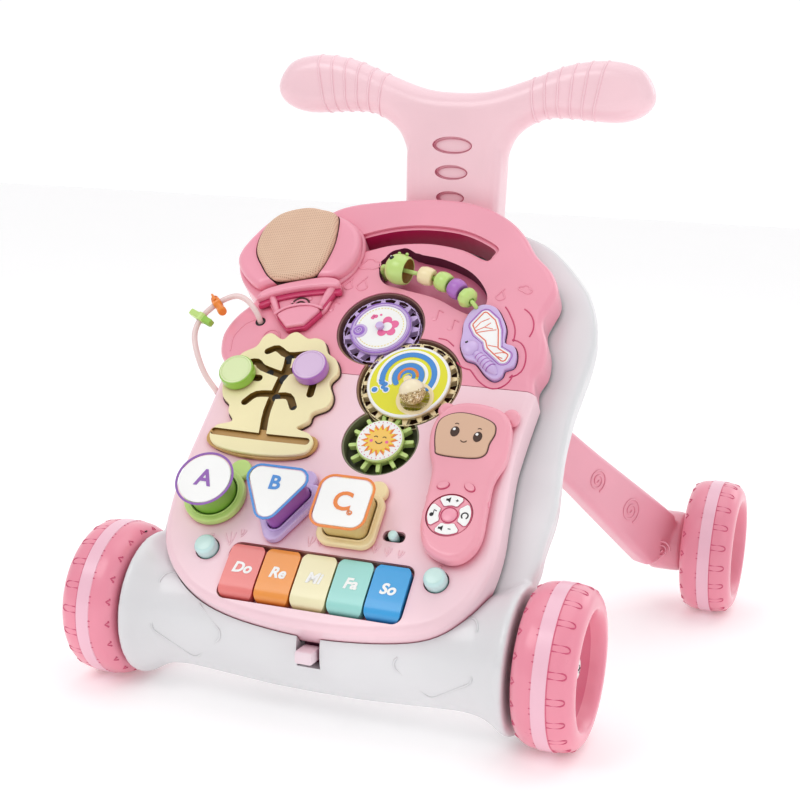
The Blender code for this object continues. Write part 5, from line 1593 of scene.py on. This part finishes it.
# ---------------------------------------------------------------- shape sorter
BLOCKS = {
    "A": ((-97.0, 89.0), circle(-97, 89, 17.6, 72), circle(-97, 89, 24.0, 72),
          ((-113, 111, 8.0), (-84, 113, 8.5)),
          ("leaf_green", "block_green", "leaf_green", "print_purple", "green")),
    "B": ((-41.0, 92.5), corner_loop([(-63.5, 102.5), (-40.5, 62.0), (-17.5, 102.5)], 5.0),
          corner_loop([(-74, 107.5), (-40.5, 50.0), (-6.5, 107.5)], 8.0),
          ((-52, 111, 8.0), (-29, 111, 8.0)),
          ("gear_lilac", "block_violet", "gear_lilac", "print_blue", "lilac")),
    "C": ((14.5, 84.5), rounded_box(14.5, 84.5, 33.5, 33.5, 6.0), rounded_box(14.5, 84.0, 45.0, 45.0, 10.0),
          ((1, 109, 8.5), (27.5, 109, 8.5)),
          ("block_cream", "block_tan", "gear_cream", "print_orange", "cream")),
}


def make_seats_and_blocks():
    """Three eared seats, each with its lettered block: round, three-sided and square."""
    for letter, ((x, y), outline_loop, base, ears, colours) in BLOCKS.items():
        seat_colour, side_colour, rim_colour, ink, slot = colours
        seat = flat("seat", [base], 0.3, 6.8, 1.6, 4)
        lugs = [flat("ear", [circle(ex, ey, radius, 40)], 0.3, 6.2, 1.5, 3) for ex, ey, radius in ears]
        hole = flat("hole", [grown(outline_loop, 0.7)], -5.0, 20.0)
        seat = boolean(boolean(seat, lugs, "UNION"), [hole])
        lip = [(px, py, 6.9) for px, py in grown(outline_loop, 1.6)]
        parts = [dyed(softened(seat, 0.5, 2), seat_colour),
                 dyed(tube("lip", lip, 0.7, True, 2), seat_colour)]
        shadow = [[(px, py) for px, py in grown(outline_loop, 0.6)]]
        parts.append(dyed(flat("floor", shadow, 0.05, 0.4), "shadow_brown"))
        piece("seat_%s_look" % letter, "panel", parts, ("seat_" + letter,), slot, PANEL, 40)
        body = dyed(flat("block", [outline_loop], 0.7, 26.6, 1.8, 4), side_colour)
        rim = dyed(flat("rim", [grown(outline_loop, -0.1)], 22.5, 27.9, 1.6, 4), rim_colour)
        label_plate = dyed(flat("label", [grown(outline_loop, -2.6)], 27.4, 28.15, 0.3, 2), "label_white")
        frame_line = [grown(outline_loop, -3.3), grown(outline_loop, -5.0)]
        parts = [body, rim, label_plate, dyed(flat("line", frame_line, 27.8, 28.4), ink)]
        size = {"A": 19.0, "B": 16.0, "C": 21.0}[letter]
        parts.append(label("letter", letter, size, 1.0, 28.0, 28.45, ink, x, y, 0.0, 0.45))
        if letter == "C":
            parts.append(swirl(1.7, 0.5, 2.3, 0.4, ink, x + 8.0, y - 7.8, 28.2))
        piece("block_%s_look" % letter, "block_" + letter, parts, ("block_" + letter,), slot, PANEL, 35)


# ---------------------------------------------------------------- keys, buttons and switch
KEYS = (("key_1", "Do", "key_coral", "coral"), ("key_2", "Re", "key_orange", "orange"),
        ("key_3", "Mi", "key_cream", "cream"),
        ("key_4", "Fa", "key_mint", "mint"), ("key_5", "So", "key_blue", "blue"))

KEY_PITCH = 28.2
KEY_MIDDLE = 1


def make_keys():
    """Five rounded keys with rolled lower ends and their note names."""
    roll = spline([(26.0, 3.0), (20.0, 2.6), (15.6, 1.0), (12.6, -2.0), (11.2, -5.0), (10.9, -7.2)], 4,
                  False)
    side = [(53.4, -7.2), (53.4, 1.4), (52.6, 2.6), (50.0, 3.0), *roll]
    for i, (node, note, colour, slot) in enumerate(KEYS):
        x = KEY_MIDDLE + (i - 2) * KEY_PITCH
        key = flat("key", [side], -13.4, 13.4)
        key.data.transform(Matrix(((0, 0, 1, 0), (1, 0, 0, 0), (0, 1, 0, 0), (0, 0, 0, 1))))
        plan = flat("plan", [rounded_box(0, 32.2, 26.8, 43.0, 6.5)], -30, 30)
        key = softened(boolean(key, [plan], "INTERSECT"), 2.0, 5, 35)
        parts = [dyed(moved(key, x, 0, 0), colour)]
        parts.append(label("note", note, 11.5, 1.0, 2.85, 3.25, "label_white", x, 34.0, 0.22, 0.42))
        piece(node + "_look", node, parts, (node,), slot, PANEL, 60)
    sill = dyed(flat("sill", [rounded_box(1.0, 33.0, 142.2, 45.7, 7.0)], -12.0, -10.6), "bay_beige")
    bay_wall = flat("bay", [rounded_box(1.0, 33.0, 142.4, 45.9, 7.0),
                            rounded_box(1.0, 33.0, 141.4, 44.9, 6.5)], -11.0, -1.6)
    piece("key_bay_look", "panel", [sill, dyed(bay_wall, "bay_beige")], (), "pale_pink", PANEL, 50)


def make_buttons():
    """Two mint push buttons and the slide switch with its slot, whose floor is a painted black shade."""
    for node, (x, y) in zip(("button_left", "button_right"), BUTTONS):
        cap = turned("cap", [(0, 8.9), (3.6, 8.8), (6.0, 8.3), (7.4, 7.3), (8.3, 5.6), (8.4, -5.4),
                             (0, -5.4)], 56)
        top = turned("top", [(0, 9.0), (4.6, 8.8), (5.9, 8.45), (5.9, 8.0), (0, 8.0)], 56)
        parts = [moved(dyed(cap, "button_mint"), x, y, 0), moved(dyed(top, "mint_pale"), x, y, 0)]
        piece(node + "_look", node, parts, (node,), "mint", PANEL, 45)
    x, y, _, _ = SWITCH_SLOT
    knob = dyed(turned("knob", [(0, 4.0), (2.6, 3.8), (3.5, 3.0), (3.7, 1.5), (3.7, -5.0), (0, -5.0)], 40),
                "button_mint")
    piece("power_switch_look", "power_switch", [moved(knob, x - 0.5, y, 0)], ("power_switch",), "mint",
          PANEL, 45)
    # painted shade: a black floor under the switch knob
    slot = dyed(flat("slot", [rounded_box(x, y, 15.5, 7.8, 3.8)], -7.5, -5.6), "black_floor")
    rim = flat("rim", [rounded_box(x, y, 16.8, 8.9, 4.2), rounded_box(x, y, 15.6, 7.7, 3.7)], -6.4, -0.9)
    return piece("switch_slot_look", "panel", [slot, dyed(rim, "slot_teal")], (), "grey", PANEL, 45)


# ---------------------------------------------------------------- dragonfly
WING = [(67, 279), (60, 265), (65, 257.5), (74, 251), (77, 244.5), (93, 232), (95, 240), (85.5, 245),
        (81.5, 262), (77, 271)]
WING_VEINS = [[(63, 262), (66, 268), (72, 272)], [(64, 259.5), (70, 263.5), (74, 268)],
              [(65.5, 258), (72, 260), (80, 262)],
              [(70, 263.5), (77, 262.5)], [(77, 247), (85.5, 246)], [(84, 240), (90, 241.5), (93, 241)],
              [(87, 237.5), (91, 236)]]


def make_dragonfly():
    """Lilac dragonfly button: raised border, white wing with orange veins, head, eye and ringed tail."""
    plate = dyed(flat("plate", [spline(DRAGONFLY_RIM, 4)], -2.7, 3.4, 1.5, 4), "gear_lilac")
    wing = dyed(flat("wing", [grown(corner_loop(WING, 2.2), 1.9)], 3.0, 3.9, 0.3, 2), "label_white")
    parts = [plate, wing]
    groove = grown(corner_loop(WING, 2.2), 3.2)
    parts.append(dyed(tube("border", [(x, y, 3.35) for x, y in groove], 0.5, True, 2), "violet"))
    parts.append(dyed(tube("wing_line", [(x, y, 3.9) for x, y in corner_loop(WING, 2.2)], 0.5, True, 2),
                      "vein_orange"))
    for vein in WING_VEINS:
        parts.append(dyed(tube("vein", [(x, y, 3.85) for x, y in vein], 0.38, False, 2), "vein_orange"))
    parts.append(dyed(ball("head", (63.5, 243.5, 2.6), (7.0, 7.4, 3.8)), "gear_lilac"))
    start, end = Vector((69.0, 239.5)), Vector((90.0, 221.5))
    path = [start.lerp(end, t / 8) for t in range(9)]
    thick = [2.6, 3.6, 4.1, 4.4, 4.6, 4.6, 4.3, 3.4, 1.6]
    tail = tube("tail", [(p.x, p.y, 2.4) for p in path], thick, False, 5)
    parts.append(dyed(tail, "gear_lilac"))
    for i in (1, 2, 3, 4, 5):
        spot = start.lerp(end, i / 7.2)
        ring = tube("ring", [(spot.x, spot.y, 2.4), (spot.x + 0.5, spot.y - 0.43, 2.4)], thick[i] + 0.28,
                    False, 5)
        parts.append(dyed(ring, "violet"))
    parts.append(dyed(ball("eye", (60.2, 247.2, 5.2), (1.3, 1.3, 1.0), rings=10), "ink_black"))
    parts.append(dyed(ball("glint", (59.8, 247.7, 6.0), (0.4, 0.4, 0.3), rings=6), "label_white"))
    return piece("dragonfly_look", "dragonfly_button", parts, ("dragonfly_button",), "lilac", PANEL, 50)


# ---------------------------------------------------------------- phone
PHONE = [(65, 184.5), (58, 175), (55.8, 161), (59, 145), (65.5, 129), (67.5, 105), (69.5, 82), (78, 65.5),
         (95, 58.5),
         (108, 63.5), (115, 79), (113.5, 105), (112.5, 127), (117.3, 145), (116.4, 163), (113.5, 176),
         (106, 184.5),
         (95, 188.3), (84, 189.5), (73.5, 188.5)]
SCREEN = [(63, 171.5), (74, 177.5), (89, 176.5), (102, 171.5), (105, 163.5), (103, 154.5), (102, 145),
          (93, 141),
          (69, 141), (64.5, 146), (61, 161)]
PHONE_EYES = ((75.5, 161.0), (93.5, 158.5))
DIAL = (89.0, 93.0)


def pad_loop(first, last, inner, outer):
    """A rounded sector of a ring between two angles."""
    ends = 5.0
    return [*arc(0, 0, outer, first + ends, last - ends, 10), *arc(0, 0, outer - 1.4, last, last, 1)[:1],
            *arc(0, 0, inner + 1.0, last, last, 1)[:1],
            *arc(0, 0, inner, last - 2 * ends, first + 2 * ends, 6),
            *arc(0, 0, inner + 1.0, first, first, 1)[:1], *arc(0, 0, outer - 1.4, first, first, 1)[:1]]


def make_phone():
    """Pink toy phone: eared handset, tan screen with a plain face, two keys and a chin seam."""
    body = flat("body", [spline(PHONE, 5)], 0.5, 13.4, 4.6, 7)
    seat = turned("seat", [(0, 20), (17.3, 20), (17.3, 10.1), (0, 10.1)], 96)
    body = boolean(body, [moved(seat, *DIAL, 0.0)])
    parts = [dyed(softened(body, 0.5, 2), "phone_pink")]
    for x, y in ((61.6, 183.0), (111.4, 183.0)):
        parts.append(dyed(flat("ear", [circle(x, y, 6.6, 48)], 0.6, 9.6, 3.6, 5), "phone_pink"))
    screen = spline(SCREEN, 5)
    parts.append(dyed(flat("screen_edge", [grown(screen, 0.9)], 12.0, 13.75, 0.3, 2), "shadow_brown"))
    parts.append(dyed(flat("screen", [screen], 12.5, 14.6, 0.9, 4), "screen_tan"))
    for x, y in PHONE_EYES:
        parts.append(dyed(flat("eye", [ellipse(x, y, 3.4, 4.4, 40)], 14.3, 14.85, 0.2, 2), "ink_brown"))
        parts.append(dyed(flat("glint", [circle(x - 0.9, y + 1.9, 1.1, 20)], 14.7, 15.0), "label_white"))
        parts.append(print_line(arc(x, y + 5.6, 1.6, 40, 140, 8), 0.3, 14.4, 14.8, "ink_brown"))
    parts.append(print_line(arc(84.0, 155.4, 2.6, 215, 325, 12), 0.36, 14.4, 14.85, "ink_brown"))
    for x, y, lean in ((78.4, 116.0, 22), (98.0, 117.0, -32)):
        key = flat("key", [ellipse(0, 0, 4.3, 2.7, 36, math.radians(lean))], 12.6, 14.7, 0.8, 3)
        parts.append(dyed(moved(key, x, y, 0.0), "phone_pink"))
        # painted shade round each key
        shade_key = flat("key_edge", [ellipse(0, 0, 4.9, 3.2, 36, math.radians(lean))], 12.6, 13.55, 0.0)
        parts.append(dyed(moved(shade_key, x + 0.2, y - 0.3, 0.0), "crimson"))
    seam = spline([(73.0, 78.5), (77, 73.0), (87, 67.5), (100, 70), (107, 76.5), (112.5, 77.5)], 6, False)
    parts.append(dyed(tube("seam", [(x, y, 12.5 if 72 < x < 111 else 11.0) for x, y in seam], 0.95, False,
                           3), "phone_pink"))
    for x, y in ((67.6, 108.0), (68.2, 96.0), (113.4, 108.0), (113.4, 96.0)):
        parts.append(dyed(ball("nub", (x, y, 8.0), (1.0, 2.4, 1.6), rings=10), "rose_shell"))
    return piece("phone_look", "phone_handset", parts, ("phone_handset",), "pink", PANEL, 50)


def make_phone_dial():
    """Round dial with four white pads, their signs and a pink middle."""
    disc = dyed(turned("disc", [(0, 13.1), (16.2, 13.1), (16.7, 12.6), (16.7, 11.2), (0, 11.2)], 96),
                "phone_pink")
    parts = [disc, dyed(turned("middle", [(0, 14.1), (4.6, 14.0), (5.5, 13.3), (5.5, 12.8), (0, 12.8)], 48),
                        "rose_shell"),
             # painted shade in the groove round the pink middle
             dyed(tube("ring", [(x, y, 13.15) for x, y in circle(0, 0, 6.1, 48)], 0.35, True, 2),
                  "crimson")]
    for middle_angle in (95, 185, 275, 5):
        loop = pad_loop(middle_angle - 36, middle_angle + 36, 7.6, 15.8)
        # painted shade round each white pad
        parts.append(dyed(flat("pad_edge", [grown(loop, 0.5)], 12.8, 13.3), "crimson"))
        parts.append(dyed(flat("pad", [loop], 12.9, 14.1, 0.45, 3), "label_white"))
    for x, y in ((-2.6, 11.6), (-2.6, -11.4)):
        speaker = [(x - 2.4, y - 0.8), (x - 1.0, y - 0.8), (x + 0.8, y - 2.2), (x + 0.8, y + 2.2),
                   (x - 1.0, y + 0.8), (x - 2.4, y + 0.8)]
        parts.append(dyed(flat("sign", [speaker], 14.0, 14.25), "ink_black"))
        parts.append(dyed(flat("sign", [rounded_box(x + 5.8, y, 2.2, 0.6, 0.2, 2)], 14.0, 14.25),
                          "ink_black"))
    parts.append(dyed(flat("sign", [rounded_box(3.2, 11.6, 0.6, 2.2, 0.2, 2)], 14.0, 14.25), "ink_black"))
    parts.append(print_disc(-12.6, -1.6, 1.5, 14.0, 14.25, "ink_black", 24))
    parts.append(print_line([(-11.5, -1.4), (-11.5, 2.4), (-9.8, 1.6)], 0.4, 14.0, 14.25, "ink_black"))
    parts.append(print_line(arc(11.6, 0.4, 2.4, -50, 230, 16), 0.5, 14.0, 14.25, "ink_black"))
    parts = [moved(part, *DIAL, 0.0) for part in parts]
    return piece("phone_dial_look", "phone_dial", parts, ("phone_dial",), "pink", PANEL, 40)


# ---------------------------------------------------------------- latch, lock button and plain parts
def make_latch_and_lock():
    """Bevelled release latch in its slot, with painted shade on the slot's back, and the handle's lock
    button.
    """
    low, high = (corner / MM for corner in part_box("release_latch"))
    latch = dyed(block("latch", (low.x + 0.1, low.y, low.z + 0.1), (high.x - 0.1, high.y, high.z - 0.1),
                       2.2, 2), "latch_pink")
    piece("release_latch_look", "release_latch", [latch], ("release_latch",), "pale_pink", WORLD, 30)
    # painted shade: a maroon plate at the back of the latch slot
    back = dyed(block("slot_back", (-5.9, -214.0, 44.6), (11.9, -211.6, 69.8)), "slot_maroon")
    piece("latch_slot_look", "body", [back], (), "maroon", WORLD, 30)
    spot = middle("handle_button") / MM
    button = turned("button", [(0, 5.1), (3.2, 4.9), (4.9, 4.2), (5.5, 3.2), (5.5, -5.0), (0, -5.0)], 48)
    button.data.transform(Matrix.Translation(spot) @ Matrix.Rotation(-math.pi / 2, 4, "X"))
    return piece("handle_button_look", "handle_button", [dyed(button, "screw_grey")], ("handle_button",),
                 "grey", WORLD, 40)


PLAIN_NODES = {"back_cover": "body_white", "panel_back": "inner_grey", "battery_cover": "blush_shell",
               "speaker": "screw_grey",
               "circuit_board": "board_green", "front_axle": "screw_grey", "cross_rod": "screw_grey"}


def finish_plain_nodes():
    """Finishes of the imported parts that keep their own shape."""
    for node, colour in PLAIN_NODES.items():
        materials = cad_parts[node].data.materials
        materials.clear()
        materials.append(paint(colour))


# ---------------------------------------------------------------- stage
FLOOR_HALF = 6.0
FLOOR_GLOW = 0.22
WORLD_LOW, WORLD_RISE = 0.60, 0.44      # strength all round, and what is added behind the walker
LAMPS = (("key", (-0.9, -1.5, 1.9), 1.1, 10.4), ("fill", (1.7, -1.1, 0.9), 1.6, 3.4),
         ("top", (0.1, 0.2, 2.2), 1.6, 6.0), ("rim", (1.1, 1.6, 1.2), 1.0, 3.0))
LAMP_AIM = (0.0, 0.0, 0.2)
CAMERA_PLACE = (0.4132, -1.1669, 0.4295)
CAMERA_ANGLES = (20.339, 10.5, 2.092)   # round, up and roll, in degrees
LENS, SENSOR = 68.32, 36.0


def make_stage():
    """Pale floor, soft lights and the camera."""
    mesh = bpy.data.meshes.new("floor")
    shape = bmesh.new()
    bmesh.ops.create_grid(shape, x_segments=2, y_segments=2, size=FLOOR_HALF)
    shape.to_mesh(mesh)
    shape.free()
    floor = new_object("floor", mesh)
    material, tree, shader = shell("pale_floor", 0.6, 0.0)
    coords = object_coords(tree)
    cloud_value = noise(tree, coords, 0.004)
    finish(tree, shader, cloud_value.blend(tint(244, 243, 243), tint(250, 249, 249)),
           0.55 + cloud_value * 0.1,
           noise(tree, coords, 0.3), 0.03)
    shader.inputs["Emission Color"].default_value = (1.0, 1.0, 1.0, 1.0)
    shader.inputs["Emission Strength"].default_value = FLOOR_GLOW
    mesh.materials.append(material)
    world = bpy.context.scene.world or bpy.data.worlds.new("studio")
    bpy.context.scene.world = world
    world.use_nodes = True
    back = world.node_tree.nodes["Background"]
    back.inputs["Color"].default_value = (0.99, 0.99, 1.0, 1.0)
    heading = Value.of(world.node_tree, "ShaderNodeTexCoord", out="Generated").axes()
    feed(world.node_tree, back.inputs["Strength"], heading[1].step(0.15, 0.9) * WORLD_RISE + WORLD_LOW)
    aim = Vector(LAMP_AIM)
    for name, place, size, power in LAMPS:
        lamp = bpy.data.lights.new(name, "AREA")
        lamp.size = size
        lamp.energy = power
        holder = new_object(name, lamp)
        holder.location = place
        holder.rotation_euler = (aim - Vector(place)).to_track_quat("-Z", "Y").to_euler()
    camera = bpy.data.cameras.new("camera")
    camera.lens = LENS
    camera.sensor_width = SENSOR
    eye = new_object("camera", camera)
    around, lift, roll = (math.radians(angle) for angle in CAMERA_ANGLES)
    back_way = Vector((math.sin(around) * math.cos(lift), -math.cos(around) * math.cos(lift),
                       math.sin(lift)))
    right = Vector((math.cos(around), math.sin(around), 0.0))
    up = back_way.cross(right)
    right, up = math.cos(roll) * right + math.sin(roll) * up, math.cos(roll) * up - math.sin(roll) * right
    turn = Matrix((right, up, back_way)).transposed().to_4x4()
    turn.translation = CAMERA_PLACE
    eye.matrix_world = turn
    bpy.context.scene.camera = eye
    bpy.context.scene.view_settings.view_transform = "Standard"
# ---------------------------------------------------------------- operators, panel and registration
class AddBody(bpy.types.Operator):
    """Add the white body moulding with its bumper."""
    bl_idname = "walker.body"
    bl_label = "Body"
    bl_options = {"REGISTER", "UNDO"}

    def execute(self, context):
        make_body()
        return {"FINISHED"}


class AddShells(bpy.types.Operator):
    """Add the rose and blush panel shells with their relief."""
    bl_idname = "walker.panel_shells"
    bl_label = "Panel shells"
    bl_options = {"REGISTER", "UNDO"}

    def execute(self, context):
        for name, shell_solid in make_panel_shells():
            relief = make_rose_relief() if name == "panel_upper" else make_blush_relief()
            piece(name + "_look", "panel", [shell_solid, *relief], (name,), "pink", PANEL, 40)
        return {"FINISHED"}


class AddHandle(bpy.types.Operator):
    """Add the T-shaped push handle."""
    bl_idname = "walker.handle"
    bl_label = "Push handle"
    bl_options = {"REGISTER", "UNDO"}

    def execute(self, context):
        make_handle()
        return {"FINISHED"}


class AddWheels(bpy.types.Operator):
    """Add the four ribbed wheels."""
    bl_idname = "walker.wheels"
    bl_label = "Wheels"
    bl_options = {"REGISTER", "UNDO"}

    def execute(self, context):
        for corner in ("front_left", "front_right", "rear_left", "rear_right"):
            make_wheel(corner)
        return {"FINISHED"}


class AddRearLegs(bpy.types.Operator):
    """Add the two folding rear legs."""
    bl_idname = "walker.rear_legs"
    bl_label = "Rear legs"
    bl_options = {"REGISTER", "UNDO"}

    def execute(self, context):
        make_rear_leg(-1, "left")
        make_rear_leg(1, "right")
        return {"FINISHED"}


class AddWells(bpy.types.Operator):
    """Add the tray under the three gears."""
    bl_idname = "walker.gear_wells"
    bl_label = "Gear wells"
    bl_options = {"REGISTER", "UNDO"}

    def execute(self, context):
        make_well_tray()
        return {"FINISHED"}


class AddFlowerGear(bpy.types.Operator):
    """Add the lilac gear with its printed flower."""
    bl_idname = "walker.flower_gear"
    bl_label = "Flower gear"
    bl_options = {"REGISTER", "UNDO"}

    def execute(self, context):
        make_flower_gear()
        return {"FINISHED"}


class AddSpiralGear(bpy.types.Operator):
    """Add the cream gear, its spiral print and its bead ball."""
    bl_idname = "walker.spiral_gear"
    bl_label = "Spiral gear"
    bl_options = {"REGISTER", "UNDO"}

    def execute(self, context):
        make_spiral_gear()
        make_gear_ball()
        return {"FINISHED"}


class AddSunGear(bpy.types.Operator):
    """Add the green gear with its printed sun."""
    bl_idname = "walker.sun_gear"
    bl_label = "Sun gear"
    bl_options = {"REGISTER", "UNDO"}

    def execute(self, context):
        make_sun_gear()
        return {"FINISHED"}


class AddBalloon(bpy.types.Operator):
    """Add the balloon with its grille and basket."""
    bl_idname = "walker.balloon"
    bl_label = "Balloon"
    bl_options = {"REGISTER", "UNDO"}

    def execute(self, context):
        make_balloon()
        return {"FINISHED"}


class AddWire(bpy.types.Operator):
    """Add the moulded wire and its two beads."""
    bl_idname = "walker.bead_wire"
    bl_label = "Bead wire"
    bl_options = {"REGISTER", "UNDO"}

    def execute(self, context):
        make_wire()
        make_wire_beads()
        return {"FINISHED"}


class AddGrub(bpy.types.Operator):
    """Add the grub: head, rod and four beads."""
    bl_idname = "walker.grub"
    bl_label = "Grub"
    bl_options = {"REGISTER", "UNDO"}

    def execute(self, context):
        make_grub()
        return {"FINISHED"}


class AddTree(bpy.types.Operator):
    """Add the slotted tree and its two knobs."""
    bl_idname = "walker.tree"
    bl_label = "Tree"
    bl_options = {"REGISTER", "UNDO"}

    def execute(self, context):
        make_tree()
        return {"FINISHED"}


class AddSorter(bpy.types.Operator):
    """Add the three seats and their lettered blocks."""
    bl_idname = "walker.sorter"
    bl_label = "Shape sorter"
    bl_options = {"REGISTER", "UNDO"}

    def execute(self, context):
        make_seats_and_blocks()
        return {"FINISHED"}


class AddKeys(bpy.types.Operator):
    """Add the five note keys in their bay."""
    bl_idname = "walker.keys"
    bl_label = "Keys"
    bl_options = {"REGISTER", "UNDO"}

    def execute(self, context):
        make_keys()
        return {"FINISHED"}


class AddButtons(bpy.types.Operator):
    """Add the two buttons and the sliding switch."""
    bl_idname = "walker.buttons"
    bl_label = "Buttons"
    bl_options = {"REGISTER", "UNDO"}

    def execute(self, context):
        make_buttons()
        return {"FINISHED"}


class AddDragonfly(bpy.types.Operator):
    """Add the dragonfly with its veined wing."""
    bl_idname = "walker.dragonfly"
    bl_label = "Dragonfly"
    bl_options = {"REGISTER", "UNDO"}

    def execute(self, context):
        make_dragonfly()
        return {"FINISHED"}


class AddPhone(bpy.types.Operator):
    """Add the phone handset and its dial."""
    bl_idname = "walker.phone"
    bl_label = "Phone"
    bl_options = {"REGISTER", "UNDO"}

    def execute(self, context):
        make_phone()
        make_phone_dial()
        return {"FINISHED"}


class AddCatches(bpy.types.Operator):
    """Add the panel latch and the lock."""
    bl_idname = "walker.catches"
    bl_label = "Catches"
    bl_options = {"REGISTER", "UNDO"}

    def execute(self, context):
        make_latch_and_lock()
        return {"FINISHED"}


class AddPlainNodes(bpy.types.Operator):
    """Finish the frame's own rods, screws and covers."""
    bl_idname = "walker.plain_nodes"
    bl_label = "Rods and covers"
    bl_options = {"REGISTER", "UNDO"}

    def execute(self, context):
        finish_plain_nodes()
        return {"FINISHED"}


class AddStage(bpy.types.Operator):
    """Add the floor, lights, world and camera."""
    bl_idname = "walker.stage"
    bl_label = "Stage"
    bl_options = {"REGISTER", "UNDO"}

    def execute(self, context):
        make_stage()
        return {"FINISHED"}


PIECES = (AddBody, AddShells, AddHandle, AddWheels, AddRearLegs, AddWells,
          AddFlowerGear, AddSpiralGear, AddSunGear, AddBalloon, AddWire, AddGrub,
          AddTree, AddSorter, AddKeys, AddButtons, AddDragonfly, AddPhone,
          AddCatches, AddPlainNodes, AddStage)


class WalkerPanel(bpy.types.Panel):
    """Sidebar panel with the walker's settings and one button for each operator."""
    bl_idname = "VIEW3D_PT_walker"
    bl_label = "Baby walker"
    bl_space_type = "VIEW_3D"
    bl_region_type = "UI"
    bl_category = "Walker"

    def draw(self, context):
        layout = self.layout
        for title, group in (("Sizes", context.scene.walker_sizes),
                             ("Colours", context.scene.walker_colours)):
            box = layout.box()
            box.label(text=title)
            for name in group.__annotations__:
                box.prop(group, name)
        for operator in PIECES:
            layout.operator(operator.bl_idname)


CLASSES = (WalkerSizes, WalkerColours, *PIECES, WalkerPanel)


def register():
    for cls in CLASSES:
        bpy.utils.register_class(cls)
    bpy.types.Scene.walker_sizes = PointerProperty(type=WalkerSizes)
    bpy.types.Scene.walker_colours = PointerProperty(type=WalkerColours)


def unregister():
    del bpy.types.Scene.walker_colours
    del bpy.types.Scene.walker_sizes
    for cls in reversed(CLASSES):
        bpy.utils.unregister_class(cls)


def main():
    """Build every piece and the stage in order."""
    register()
    bpy.ops.walker.body()
    bpy.ops.walker.panel_shells()
    bpy.ops.walker.handle()
    bpy.ops.walker.wheels()
    bpy.ops.walker.rear_legs()
    bpy.ops.walker.gear_wells()
    bpy.ops.walker.flower_gear()
    bpy.ops.walker.spiral_gear()
    bpy.ops.walker.sun_gear()
    bpy.ops.walker.balloon()
    bpy.ops.walker.bead_wire()
    bpy.ops.walker.grub()
    bpy.ops.walker.tree()
    bpy.ops.walker.sorter()
    bpy.ops.walker.keys()
    bpy.ops.walker.buttons()
    bpy.ops.walker.dragonfly()
    bpy.ops.walker.phone()
    bpy.ops.walker.catches()
    bpy.ops.walker.plain_nodes()
    bpy.ops.walker.stage()


if __name__ == "__main__":
    main()
